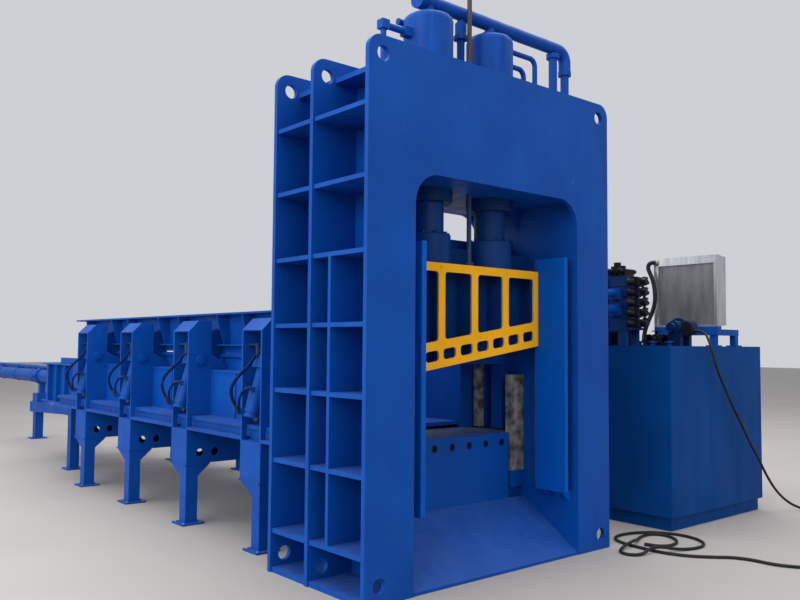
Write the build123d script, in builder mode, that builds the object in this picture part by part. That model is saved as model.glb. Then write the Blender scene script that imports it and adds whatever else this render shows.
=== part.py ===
# Gantry shear: portal frame with a sloping-blade ram, hold-down press, feed box with a tilting side flap,
# pusher cylinder, rear frame and hydraulic power unit.
# Millimetres. The origin is on the floor under the blade line, X runs across the portal,
# Y runs along the feed with the discharge side at -Y, and Z is up.
from math import atan2, cos, degrees, hypot, radians, sin, tan
import os

from build123d import *

os.makedirs("parts", exist_ok=True)

# Portal frame
frame_width = 2490
frame_height = 3570
frame_depth = 1108
plate = 36
plate_corner = 100
middle_plate_front = 57
opening_width = 1690
opening_top = 2735
opening_corner = 205
lifting_hole = 100
lifting_inset = 118
rib = 30
rib_inset = 12
rib_tops = (303, 797, 1290, 1744, 2209, 2683, 3147)
bay_divider_y = -139
beam_plate = 36
beam_top = 3450
beam_overhang = 180
diaphragm_x = 610
side_block_inner = 688
side_block_foot = 455
side_block_low = 589
side_block_top = 1365

# Blades and tables
blade_gap = 0.5
blade_height = 150
blade_thickness = 40
blade_length = 1320
table_top = 900
table_side_gap = 2
blade_bolt_pitch = 184
blade_bolt_shift = 30
blade_bolt_count = 7
blade_bolt = 36
chute_thickness = 20
chute_lip = 22
chute_slope = 33

# Ram
stroke = 720
ram_half = 835
ram_top = 2190
ram_back_top = 2340
ram_back_plate = 35
ram_low_left = 1385
ram_low_right = 1600
ram_depth = 223
slab = 90
front_frame_half = 715
front_web = 30
front_facing = 14
top_strip = 62
window_pitch = 336
window_width = 272
edge_window_width = 268
window_corner = 26
small_window_count = 8
small_window_pitch = 171
small_window_width = 126
small_window_height = 78
bottom_strip = 52
web_strip = 64

# Guides
guide_face = 720
guide_thickness = 40
guide_bottom = 480
guide_top = 2290
guide_front = -524
guide_gap = 0.5
liner = 12

# Main cylinders
cylinder_x = 329
cylinder_y = -97
barrel_radius = 186
barrel_top = 4036
barrel_seat = 40
neck_radius = 150
gland_radius = 184
neck_bottom = 2640
rod_radius = 120
rod_clearance = 0.1
clamp_radius = 172
clamp_height = 216
clamp_bolt = 24
clamp_bolt_count = 10
travel_rod_radius = 18
travel_rod_y = -200
travel_rod_top = 4750

# Hold-down press
press_half = 760
press_front = 130
press_depth = 350
press_bottom = 1450
press_top = 2440
press_stroke = 530
press_barrel_radius = 150
press_rod_radius = 80
press_y = 306

# Feed box
bed_half = 1040
bed_first = 1016
bed_pitch = 1257
bed_count = 4
bed_box_width = 310
bed_box_bottom = 530
bed_box_top = 835
bed_wall = 14
leg_size = 115
leg_flare_bottom = 420
leg_flare_x = 227
foot_size = 210
foot_thickness = 16
light_hole = 72
light_hole_z = 625
light_hole_x = (910, 760)
girder_flange = 25
floor_top = 955
floor_plate = 30
floor_half = 993
box_half = 625
box_end = 5900
wall = 16
wall_top = 1475
pin_shelf_z = 1361
pin_shelf_half = 825
flange_z = 1877
flange_half = 795
far_wall_top = 1877

# Side flap and its cylinders
hinge_x = -650
hinge_z = 1490
hinge_pin = 36
hinge_bracket = 60
panel_bottom = 1522
panel_lean = 35
wall_notch = 1445
flap_start = 564
flap_end = 5880
trunnion_x = -925
trunnion_z = 1450
trunnion_pin = 60
trunnion_boss = 42
trunnion_boss_height = 24
trunnion_block = (150, 130, 100)
lug_x = -880
lug_z = 1620
lug_pin = 40
lug_radius = 40
arm_plate = 22
rod_eye_width = 44
arm_gap = 5
open_pivot_clearance = 5
pivot_clearance = 0.05
post_plate = 20
post_shoulder = 1710
post_top = 1805
post_top_outer = -945
post_inner = -815
flap_barrel_radius = 62
flap_neck_radius = 48
flap_rod_radius = 25
flap_neck_end = 215
flap_collar_end = 240
flap_barrel_end = 420

# Rear trough, pusher and feed cylinder
trough_end = 7480
trough_top = 1315
trough_bottom = 790
trough_rib_pitch = 330
feed_axis_z = 1040
feed_barrel_radius = 110
feed_barrel_length = 5450
feed_rod_radius = 65
feed_stroke = 5200
pusher_length = 900
pusher_height = 480
pusher_side_gap = 0.5
rear_leg_y = 6096
rear_leg_half = 755
rear_leg = 115
spine_half = 120
spine_top = 620
end_leg_y = 9850
end_leg = 130
line_radius = 32

# Power unit
tank_left = frame_width / 2 + 850
tank_width = 1640
tank_front = -600
tank_depth = 2400
tank_top = 1610
plinth = 118
header_y = cylinder_y
header_z = 4154
header_radius = 52
header_left = -414
header_drop = 170
branch_radius = 36
drop_x = (frame_width / 2 - 129, frame_width / 2 + 29)
jog_z = 3330
run_y = 60
run_z = (1950, 2100)
manifold_x = tank_left + 150

# Supply cable: the points of its route, from the small motor down to the floor
cable_radius = 12
cable_route = [
    (2850, -385, 1755),
    (2850, -450, 1755),
    (2800, -535, 1728),
    (2722, -600, 1680),
    (2680, -655, 1600),
    (2694, -674, 1495),
    (2770, -670, 1370),
    (2890, -674, 1215),
    (3030, -668, 1050),
    (3180, -678, 870),
    (3330, -680, 690),
    (3480, -694, 515),
    (3625, -698, 345),
    (3760, -724, 190),
    (3880, -785, 75),
    (3960, -885, 20),
    (3970, -1020, 12),
    (3880, -1150, 12),
    (3720, -1250, 12),
    (3500, -1330, 12),
    (3240, -1400, 12),
    (2960, -1490, 12),
    (2690, -1620, 12),
    (2456, -1796, 12),
    (2240, -1930, 12),
    (2040, -1980, 12),
    (1870, -1910, 12),
    (1760, -1780, 12),
    (1706, -1640, 12),
    (1716, -1500, 12),
    (1672, -1370, 12),
    (1575, -1280, 12),
    (1470, -1170, 12),
    (1395, -1030, 12),
    (1372, -880, 12),
    (1380, -730, 12),
    (1398, -580, 12),
    (1455, -455, 12),
    (1575, -390, 12),
    (1720, -398, 12),
    (1865, -450, 12),
    (1980, -560, 12),
    (2034, -710, 12),
    (2012, -865, 12),
    (1925, -990, 12),
    (1785, -1048, 12),
    (1635, -1020, 12),
    (1520, -960, 20),
    (1425, -908, 42),
    (1320, -872, 42),
    (1220, -886, 16),
    (1132, -852, 12),
    (1112, -766, 12),
    (1176, -696, 12),
    (1272, -674, 26),
    (1352, -672, 42),
    (1440, -652, 42),
    (1535, -612, 22),
    (1640, -560, 12),
    (1755, -526, 12),
    (1858, -536, 12),
    (1918, -612, 12),
    (1898, -710, 12),
    (1828, -800, 12),
    (1722, -858, 12),
    (1610, -862, 12),
    (1528, -800, 12),
    (1500, -712, 12),
]

# Shared sizes worked out from the above
front_y = -frame_depth / 2
back_y = frame_depth / 2
front_inner = front_y + plate
middle_plate_back = middle_plate_front + plate
back_inner = back_y - plate
opening_half = opening_width / 2
frame_half = frame_width / 2
web_outer = opening_half + rib
ram_slope = (ram_low_right - ram_low_left) / (2 * front_frame_half)
ram_angle = degrees(atan2(ram_low_right - ram_low_left, 2 * front_frame_half))
post_rows = [bed_first + bed_pitch * i for i in range(bed_count)]
station_rows = [row + bed_box_width / 2 for row in post_rows]
rod_lean = degrees(atan2(lug_x - trunnion_x, lug_z - trunnion_z))
rod_reach = hypot(lug_x - trunnion_x, lug_z - trunnion_z)


def ram_low(x):
    """Height of the ram's sloping lower edge at x."""
    return ram_low_left + ram_slope * (x + front_frame_half)


def save(builder, label):
    """Name the finished piece and write its STEP file."""
    builder.part.label = label
    export_step(builder.part, f"parts/{label}.step")


def portal_plate(front, opening_bottom):
    """One full-height plate of the portal with its opening and four lifting holes."""
    with BuildPart() as portal:
        with BuildSketch(Plane.XZ.offset(-front - plate)) as face:
            with Locations((0, frame_height / 2)):
                Rectangle(frame_width, frame_height)
            fillet(face.vertices().group_by(Axis.Y)[-1], plate_corner)
            opening_height = opening_top - opening_bottom
            with Locations((0, opening_bottom + opening_height / 2)):
                Rectangle(opening_width, opening_height, mode=Mode.SUBTRACT)
            corners = face.vertices().filter_by_position(Axis.Y, opening_top - 1, opening_top + 1)
            fillet(corners, opening_corner)
            hole_x = frame_half - lifting_inset
            with Locations(
                (-hole_x, lifting_inset),
                (hole_x, lifting_inset),
                (-hole_x, frame_height - lifting_inset),
                (hole_x, frame_height - lifting_inset),
            ):
                Circle(lifting_hole / 2, mode=Mode.SUBTRACT)
        extrude(amount=plate)
    return portal


# Portal plates
front_plate = portal_plate(front_y, 0)
save(front_plate, "front_plate")

with BuildPart() as middle_plate:
    add(portal_plate(middle_plate_front, table_top).part)
    with BuildSketch(Plane.XY.offset(beam_top)):
        with Locations((-cylinder_x, middle_plate_front + plate / 2), (cylinder_x, middle_plate_front + plate / 2)):
            Rectangle(2 * (barrel_radius + barrel_seat) - 90, plate + 2)
    extrude(amount=frame_height - beam_top, mode=Mode.SUBTRACT)
save(middle_plate, "middle_plate")

# The back plate narrows to the width of the feed box behind the table
with BuildPart() as back_plate:
    add(portal_plate(back_inner, table_top).part)
    with BuildSketch(Plane.XZ.offset(-back_y)):
        for side in (-1, 1):
            with Locations((side * (box_half + opening_half) / 2, (table_top + flange_z) / 2)):
                Rectangle(opening_half - box_half, flange_z - table_top)
    extrude(amount=plate)
save(back_plate, "back_plate")


def column_bay(side, y_low, y_high, shelves, divider_top):
    """Inner web, side ribs and foot plate of one column between two portal plates."""
    shelf_length = frame_half - rib_inset - web_outer
    shelf_x = side * (web_outer + shelf_length / 2)
    with BuildPart() as bay:
        with BuildSketch(Plane.XZ.offset(-y_high)):
            with Locations((side * (opening_half + rib / 2), (beam_top - beam_plate) / 2)):
                Rectangle(rib, beam_top - beam_plate)
            with Locations((shelf_x, plate / 2)):
                Rectangle(shelf_length, plate)
            with Locations([(shelf_x, top - rib / 2) for top in shelves]):
                Rectangle(shelf_length, rib)
        extrude(amount=y_high - y_low)
        if divider_top:
            with BuildSketch(Plane.XY.offset(shelves[0])):
                with Locations((shelf_x, bay_divider_y)):
                    Rectangle(shelf_length, rib)
            extrude(amount=divider_top - shelves[0])
    return bay


# Columns
left_column_front = column_bay(-1, front_inner, middle_plate_front, rib_tops, rib_tops[4])
save(left_column_front, "left_column_front")

right_column_front = column_bay(1, front_inner, middle_plate_front, rib_tops, rib_tops[4])
save(right_column_front, "right_column_front")

guide_rail_y = (225, 440)
guide_rail_width = (120, 110)
guide_rail_bottom = table_top + 10
guide_rail_top = 2500
press_rail = opening_half - press_half - 0.5


def press_rails(side):
    """The two upright rails on a column's web that guide the hold-down."""
    rail_x = side * (opening_half - press_rail / 2)
    with BuildPart() as rails:
        with BuildSketch(Plane.XY.offset(guide_rail_bottom)):
            with Locations((rail_x, guide_rail_y[0])):
                Rectangle(press_rail, guide_rail_width[0])
            with Locations((side * (opening_half - (press_rail - liner) / 2), guide_rail_y[1])):
                Rectangle(press_rail - liner, guide_rail_width[1])
        extrude(amount=guide_rail_top - guide_rail_bottom)
    return rails


with BuildPart() as left_column_rear:
    add(column_bay(-1, middle_plate_back, back_inner, rib_tops, 0).part)
    add(press_rails(-1).part)
save(left_column_rear, "left_column_rear")

with BuildPart() as right_column_rear:
    add(column_bay(1, middle_plate_back, back_inner, rib_tops, 0).part)
    add(press_rails(1).part)
save(right_column_rear, "right_column_rear")


def cross_beam(y_low, y_high, holes):
    """Beam over the opening: lower plate, upper plate and diaphragms between two portal plates."""
    depth = y_high - y_low
    beam_height = beam_top - opening_top
    top_half = frame_half - beam_overhang
    with BuildPart() as beam:
        with BuildSketch(Plane.XZ.offset(-y_high)):
            with Locations((0, opening_top + beam_plate / 2)):
                Rectangle(opening_width, beam_plate)
            with Locations((0, beam_top - beam_plate / 2)):
                Rectangle(2 * top_half, beam_plate)
            with Locations(
                (-diaphragm_x, opening_top + beam_height / 2),
                (diaphragm_x, opening_top + beam_height / 2),
            ):
                Rectangle(rib, beam_height)
        extrude(amount=depth)
        with BuildSketch(Plane.XY.offset(opening_top)):
            for x, y, radius in holes:
                with Locations((x, y)):
                    Circle(radius)
        extrude(amount=beam_plate, mode=Mode.SUBTRACT)
        with BuildSketch(Plane.XY.offset(beam_top - beam_plate)):
            for x, y, radius in holes:
                with Locations((x, y)):
                    Circle(radius)
        extrude(amount=beam_plate, mode=Mode.SUBTRACT)
    return beam


neck_hole = neck_radius + 0.3
travel_hole = travel_rod_radius + 4
main_holes = [(-cylinder_x, cylinder_y, neck_hole), (cylinder_x, cylinder_y, neck_hole)]
main_holes.append((0, travel_rod_y, travel_hole))
cross_beam_front = cross_beam(front_inner, middle_plate_front, main_holes)
save(cross_beam_front, "cross_beam_front")

press_holes = [(0, press_y, press_barrel_radius + 0.3)]
cross_beam_rear = cross_beam(middle_plate_back, back_inner, press_holes)
save(cross_beam_rear, "cross_beam_rear")


# Ram guides: a thick face plate standing off the column on shelves, with gussets below
guide_back = -ram_depth - guide_gap - liner


def ram_guide(side):
    """One front guide of the ram, bolted to the column inside the opening."""
    stand_off = opening_half - guide_face - guide_thickness
    stand_x = side * (opening_half - stand_off / 2)
    depth = guide_back - guide_front
    middle = (guide_back + guide_front) / 2
    with BuildPart() as guide:
        with BuildSketch(Plane.XY.offset(guide_bottom)):
            with Locations((side * (guide_face + guide_thickness / 2), middle)):
                Rectangle(guide_thickness, depth)
            with Locations((stand_x, guide_back - rib / 2)):
                Rectangle(stand_off, rib)
        extrude(amount=guide_top - guide_bottom)
        shelf_count = 6
        shelf_pitch = (guide_top - guide_bottom - rib) / (shelf_count - 1)
        for i in range(shelf_count):
            with BuildSketch(Plane.XY.offset(guide_bottom + i * shelf_pitch)):
                with Locations((stand_x, guide_back - rib - 50)):
                    Rectangle(stand_off, 100)
            extrude(amount=rib)
        gusset_outer = side * opening_half
        gusset_inner = side * (guide_face + 15)
        for y in (guide_front + 60, middle, guide_back - 40):
            with BuildSketch(Plane.XZ.offset(-y)):
                with BuildLine():
                    Polyline(
                        (gusset_outer, guide_bottom),
                        (gusset_inner, guide_bottom),
                        (gusset_outer, guide_bottom - 95),
                        close=True,
                    )
                make_face()
            extrude(amount=16)
    return guide


def ram_liner(side):
    """Wear strip between a guide and the ram's side flange."""
    width = ram_half - guide_face - 4
    with BuildPart() as strip:
        with BuildSketch(Plane.XZ.offset(-guide_back - liner)):
            with Locations((side * (guide_face + 2 + width / 2), (guide_bottom + guide_top) / 2)):
                Rectangle(width, guide_top - guide_bottom - 40)
        extrude(amount=liner)
        chamfer(strip.faces().sort_by(Axis.Y)[-1].edges().group_by(Axis.Z)[0], 5)
        chamfer(strip.faces().sort_by(Axis.Y)[-1].edges().group_by(Axis.Z)[-1], 5)
    return strip


for side, name in ((-1, "left"), (1, "right")):
    save(ram_guide(side), f"{name}_guide")
    save(ram_liner(side), f"{name}_liner")

# Lower table: anvil at the front with a seat for the lower blade, plate behind it
with BuildPart() as anvil:
    anvil_bottom = 330
    with BuildSketch(Plane.YZ.offset(-blade_length / 2)):
        with BuildLine():
            Polyline(
                (blade_gap, anvil_bottom),
                (middle_plate_front, anvil_bottom),
                (middle_plate_front, table_top),
                (blade_gap + blade_thickness, table_top),
                (blade_gap + blade_thickness, table_top - blade_height),
                (blade_gap, table_top - blade_height),
                close=True,
            )
        make_face()
    extrude(amount=blade_length)
    block_width = opening_half - side_block_inner
    with BuildSketch(Plane.XZ.offset(-middle_plate_front)):
        for side in (-1, 1):
            block_x = side * (opening_half - block_width / 2)
            with Locations((block_x, (side_block_foot + side_block_low) / 2)):
                Rectangle(block_width, side_block_low - side_block_foot)
    extrude(amount=middle_plate_front)
save(anvil, "anvil")

with BuildPart() as rear_table:
    table_width = opening_width - 2 * table_side_gap
    with BuildSketch(Plane.YZ.offset(-table_width / 2)):
        with Locations(((middle_plate_back + back_inner) / 2, table_top - plate / 2)):
            Rectangle(back_inner - middle_plate_back, plate)
    extrude(amount=table_width)
    for x in (-600, -200, 200, 600):
        with BuildSketch(Plane.YZ.offset(x - rib / 2)):
            with Locations(((middle_plate_back + back_inner) / 2, (table_top - plate) / 2)):
                Rectangle(back_inner - middle_plate_back, table_top - plate)
        extrude(amount=rib)
save(rear_table, "rear_table")


# Blades with counterbored bolt holes and their bolts
first_bolt = blade_bolt_shift - (blade_bolt_count - 1) / 2 * blade_bolt_pitch
bolt_places = [first_bolt + i * blade_bolt_pitch for i in range(blade_bolt_count)]
head_radius = blade_bolt * 0.8
head_depth = 22

with BuildPart() as lower_blade:
    with BuildSketch(Plane.XZ.offset(-blade_gap - blade_thickness)):
        with Locations((0, table_top - blade_height / 2)):
            Rectangle(blade_length - 1, blade_height)
    extrude(amount=blade_thickness)
    for x in bolt_places:
        with BuildSketch(Plane.XZ.offset(-blade_gap - head_depth)):
            with Locations((x, table_top - blade_height / 2)):
                Circle(head_radius + 1)
        extrude(amount=head_depth, mode=Mode.SUBTRACT)
save(lower_blade, "lower_blade")


def socket_bolt(x, z, y_face, direction):
    """Socket-head bolt lying along Y with its hexagon recess towards the discharge side."""
    with BuildPart() as bolt:
        with BuildSketch(Plane.XZ.offset(-y_face)):
            with Locations((x, z)):
                Circle(head_radius)
        extrude(amount=direction)
        with BuildSketch(Plane.XZ.offset(-y_face + direction)):
            with Locations((x, z)):
                RegularPolygon(blade_bolt * 0.42, 6)
        extrude(amount=-direction * 0.5, mode=Mode.SUBTRACT)
    return bolt


with BuildPart() as blade_bolts:
    for x in bolt_places:
        add(socket_bolt(x, table_top - blade_height / 2, blade_gap + head_depth, head_depth - 2).part)
save(blade_bolts, "blade_bolts")

# Discharge chute between the columns
with BuildPart() as chute:
    rise = tan(radians(chute_slope))
    chute_end = blade_gap
    chute_run = chute_end - (front_y + 8)
    with BuildSketch(Plane.YZ.offset(-opening_half + table_side_gap)):
        with BuildLine():
            Polyline(
                (front_y + 8, 0),
                (front_y + 8, chute_lip),
                (chute_end, chute_lip + chute_run * rise),
                (chute_end, chute_lip + chute_run * rise - chute_thickness * 1.4),
                (front_y + 40, 0),
                close=True,
            )
        make_face()
    extrude(amount=opening_width - 2 * table_side_gap)
    for x in (-560, 0, 560):
        with BuildSketch(Plane.YZ.offset(x - rib / 2)):
            with BuildLine():
                Polyline(
                    (front_y + 60, 0),
                    (chute_end, 0),
                    (chute_end, chute_lip + chute_run * rise - chute_thickness),
                    (front_y + 60, chute_lip + 52 * rise - chute_thickness),
                    close=True,
                )
            make_face()
        extrude(amount=rib)
save(chute, "chute")

# Ram: windowed front, back slab with a higher plate behind the clamps, side flanges, ribs and top plate
lift = bottom_strip + small_window_height + web_strip
window_top = ram_top - top_strip
inner_edge = web_strip / 2
middle_edge = window_pitch - web_strip / 2
outer_low = window_pitch + web_strip / 2
outer_high = front_frame_half - 52
big_windows = [(inner_edge, middle_edge), (-middle_edge, -inner_edge)]
big_windows += [(outer_low, outer_high), (-outer_high, -outer_low)]
small_windows = [(i - (small_window_count - 1) / 2) * small_window_pitch for i in range(small_window_count)]


def windowed_plate(offset, thickness):
    """The ram's sloping front with its four large and eight small windows, a distance before the blade line."""
    with BuildPart() as windowed:
        with BuildSketch(Plane.XZ.offset(offset)) as frame_face:
            with BuildLine():
                Polyline(
                    (-front_frame_half, ram_low(-front_frame_half)),
                    (front_frame_half, ram_low(front_frame_half)),
                    (front_frame_half, ram_top),
                    (-front_frame_half, ram_top),
                    close=True,
                )
            make_face()
            for low_x, high_x in big_windows:
                with BuildLine():
                    Polyline(
                        (low_x, ram_low(low_x) + lift),
                        (high_x, ram_low(high_x) + lift),
                        (high_x, window_top),
                        (low_x, window_top),
                        close=True,
                    )
                make_face(mode=Mode.SUBTRACT)
            for middle_x in small_windows:
                low_x = middle_x - small_window_width / 2
                high_x = middle_x + small_window_width / 2
                with BuildLine():
                    Polyline(
                        (low_x, ram_low(low_x) + bottom_strip),
                        (high_x, ram_low(high_x) + bottom_strip),
                        (high_x, ram_low(high_x) + bottom_strip + small_window_height),
                        (low_x, ram_low(low_x) + bottom_strip + small_window_height),
                        close=True,
                    )
                make_face(mode=Mode.SUBTRACT)
            inner_corners = [v for v in frame_face.vertices() if abs(v.X) < front_frame_half - 1]
            fillet(inner_corners, window_corner)
        extrude(amount=thickness)
    return windowed


blade_seat = blade_thickness + blade_gap
with BuildPart() as ram_body:
    with BuildSketch(Plane.XZ.offset(blade_gap)):
        with BuildLine():
            Polyline(
                (-ram_half, ram_low(-ram_half)),
                (ram_half, ram_low(ram_half)),
                (ram_half, ram_top),
                (-ram_half, ram_top),
                close=True,
            )
        make_face()
    extrude(amount=slab)
    with BuildSketch(Plane.XZ.offset(blade_gap + slab)):
        for side in (-1, 1):
            flange = ram_half - guide_face
            inner = side * (ram_half - flange)
            with BuildLine():
                Polyline(
                    (side * ram_half, ram_low(side * ram_half)),
                    (inner, ram_low(inner)),
                    (inner, ram_top),
                    (side * ram_half, ram_top),
                    close=True,
                )
            make_face()
        with Locations((0, ram_top - 25)):
            Rectangle(2 * ram_half, 50)
        for i in (-1, 0, 1):
            strip_x = i * window_pitch
            with BuildLine():
                Polyline(
                    (strip_x - 20, ram_low(strip_x - 20)),
                    (strip_x + 20, ram_low(strip_x + 20)),
                    (strip_x + 20, ram_top),
                    (strip_x - 20, ram_top),
                    close=True,
                )
            make_face()
    extrude(amount=ram_depth - slab - blade_gap)
    blade_drop = blade_height - 12
    with BuildSketch(Plane.XZ.offset(blade_gap)):
        with BuildLine():
            left_end = -blade_length / 2
            right_end = blade_length / 2
            Polyline(
                (left_end, ram_low(left_end) - 60),
                (right_end, ram_low(right_end) - 60),
                (right_end, ram_low(right_end) + blade_drop),
                (left_end, ram_low(left_end) + blade_drop),
                close=True,
            )
        make_face()
    extrude(amount=blade_thickness, mode=Mode.SUBTRACT)
    add(windowed_plate(ram_depth, front_web).part)
    with BuildSketch(Plane.XZ.offset(blade_gap)):
        with Locations((0, (ram_top + ram_back_top) / 2)):
            Rectangle(2 * ram_half, ram_back_top - ram_top)
    extrude(amount=ram_back_plate - blade_gap)
    with BuildSketch(Plane.XY.offset(ram_top)):
        with Locations((-cylinder_x, cylinder_y), (cylinder_x, cylinder_y)):
            Circle(clamp_radius + 6)
    extrude(amount=ram_back_top - ram_top, mode=Mode.SUBTRACT)
save(ram_body, "ram_body")

with BuildPart() as upper_blade:
    with BuildSketch(Plane.XZ.offset(blade_gap)):
        with BuildLine():
            end = blade_length / 2 - 0.5
            Polyline(
                (-end, ram_low(-end) + blade_drop - 0.3),
                (end, ram_low(end) + blade_drop - 0.3),
                (end, ram_low(end) + blade_drop - blade_height),
                (-end, ram_low(-end) + blade_drop - blade_height),
                close=True,
            )
        make_face()
    extrude(amount=blade_thickness)
save(upper_blade, "upper_blade")

ram_front_frame = windowed_plate(ram_depth + front_web, front_facing)
save(ram_front_frame, "ram_front_frame")


# Main cylinders, their rods and the clamp rings on the ram
def turned(points, axis_x, axis_y, about=None):
    """Solid of revolution about a vertical axis from an (r, z) outline."""
    with BuildPart() as body:
        with BuildSketch(Plane.XZ.offset(-axis_y)):
            with BuildLine():
                Polyline([(axis_x + r, z) for r, z in points], close=True)
            make_face()
        revolve(axis=Axis((axis_x, axis_y, 0), (0, 0, 1)))
    return body


bore = rod_radius + rod_clearance
bore_top = neck_bottom + stroke + 150
for side, name in ((-1, "left"), (1, "right")):
    cylinder = turned(
        [
            (bore, neck_bottom),
            (gland_radius - 10, neck_bottom),
            (gland_radius, neck_bottom + 10),
            (gland_radius, opening_top),
            (neck_radius, opening_top),
            (neck_radius, beam_top),
            (barrel_radius + barrel_seat, beam_top),
            (barrel_radius + barrel_seat, beam_top + 50),
            (barrel_radius, beam_top + 50),
            (barrel_radius, barrel_top - 44),
            (barrel_radius - 6, barrel_top - 22),
            (barrel_radius - 22, barrel_top - 6),
            (barrel_radius - 44, barrel_top),
            (0, barrel_top),
            (0, bore_top),
            (bore, bore_top),
        ],
        side * cylinder_x,
        cylinder_y,
    )
    save(cylinder, f"{name}_main_cylinder")
    rod = turned(
        [(0, ram_top), (rod_radius, ram_top), (rod_radius, bore_top - 20), (0, bore_top - 20)],
        side * cylinder_x,
        cylinder_y,
    )
    save(rod, f"{name}_main_rod")
    with BuildPart() as rod_clamp:
        with BuildSketch(Plane.XY.offset(ram_top)):
            with Locations((side * cylinder_x, cylinder_y)):
                Circle(clamp_radius)
                Circle(rod_radius + 0.3, mode=Mode.SUBTRACT)
        extrude(amount=clamp_height)
        chamfer(rod_clamp.edges().filter_by(GeomType.CIRCLE).group_by(Axis.Z)[-1].sort_by(SortBy.RADIUS)[-1], 6)
        with BuildSketch(Plane.XY.offset(ram_top + clamp_height)):
            with Locations((side * cylinder_x, cylinder_y)):
                with PolarLocations((clamp_radius + rod_radius) / 2 + 2, clamp_bolt_count):
                    RegularPolygon(clamp_bolt * 0.75, 6)
        extrude(amount=16)
    save(rod_clamp, f"{name}_rod_clamp")

travel_rod = turned(
    [(0, ram_top), (34, ram_top), (34, ram_top + 30), (travel_rod_radius, ram_top + 30)]
    + [(travel_rod_radius, travel_rod_top), (0, travel_rod_top)],
    0,
    travel_rod_y,
)
save(travel_rod, "travel_rod")

# Hold-down: barrel in the rear beam, rod and pressing head
press_bore = press_rod_radius + rod_clearance
press_bore_top = neck_bottom + press_stroke + 120
press_cylinder = turned(
    [
        (press_bore, neck_bottom),
        (press_barrel_radius - 8, neck_bottom),
        (press_barrel_radius, neck_bottom + 8),
        (press_barrel_radius, beam_top),
        (press_barrel_radius + 45, beam_top),
        (press_barrel_radius + 45, beam_top + 45),
        (press_barrel_radius, beam_top + 45),
        (press_barrel_radius, beam_top + 100),
        (press_barrel_radius - 10, beam_top + 110),
        (0, beam_top + 110),
        (0, press_bore_top),
        (press_bore, press_bore_top),
    ],
    0,
    press_y,
)
save(press_cylinder, "press_cylinder")

press_rod = turned(
    [(0, press_top), (press_rod_radius + 40, press_top), (press_rod_radius + 40, press_top + 60)]
    + [(press_rod_radius, press_top + 60), (press_rod_radius, press_bore_top - 20), (0, press_bore_top - 20)],
    0,
    press_y,
)
save(press_rod, "press_rod")

with BuildPart() as press_head:
    with BuildSketch(Plane.XZ.offset(-press_front - press_depth)):
        with Locations((0, (press_bottom + press_top) / 2)):
            Rectangle(2 * press_half, press_top - press_bottom)
        for x in (-1, 1):
            with Locations((x * press_half / 2, (press_bottom + 330 + press_top - 170) / 2)):
                Rectangle(press_half - 150, press_top - press_bottom - 330 - 170, mode=Mode.SUBTRACT)
    extrude(amount=press_depth)
    chamfer(press_head.edges().filter_by(Axis.X).group_by(Axis.Z)[-1], 20)
save(press_head, "press_head")

with BuildPart() as press_liners:
    with BuildSketch(Plane.XY.offset(guide_rail_bottom)):
        with Locations(
            (-press_half - 0.5 - liner / 2, guide_rail_y[1]),
            (press_half + 0.5 + liner / 2, guide_rail_y[1]),
        ):
            Rectangle(liner, guide_rail_width[1])
    extrude(amount=guide_rail_top - guide_rail_bottom)
    with BuildSketch(Plane.XZ.offset(-middle_plate_front)):
        for side in (-1, 1):
            block_x = side * (opening_half - block_width / 2)
            with Locations((block_x, (side_block_low + side_block_top) / 2)):
                Rectangle(block_width, side_block_top - side_block_low)
    extrude(amount=middle_plate_front)
save(press_liners, "press_liners")


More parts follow.
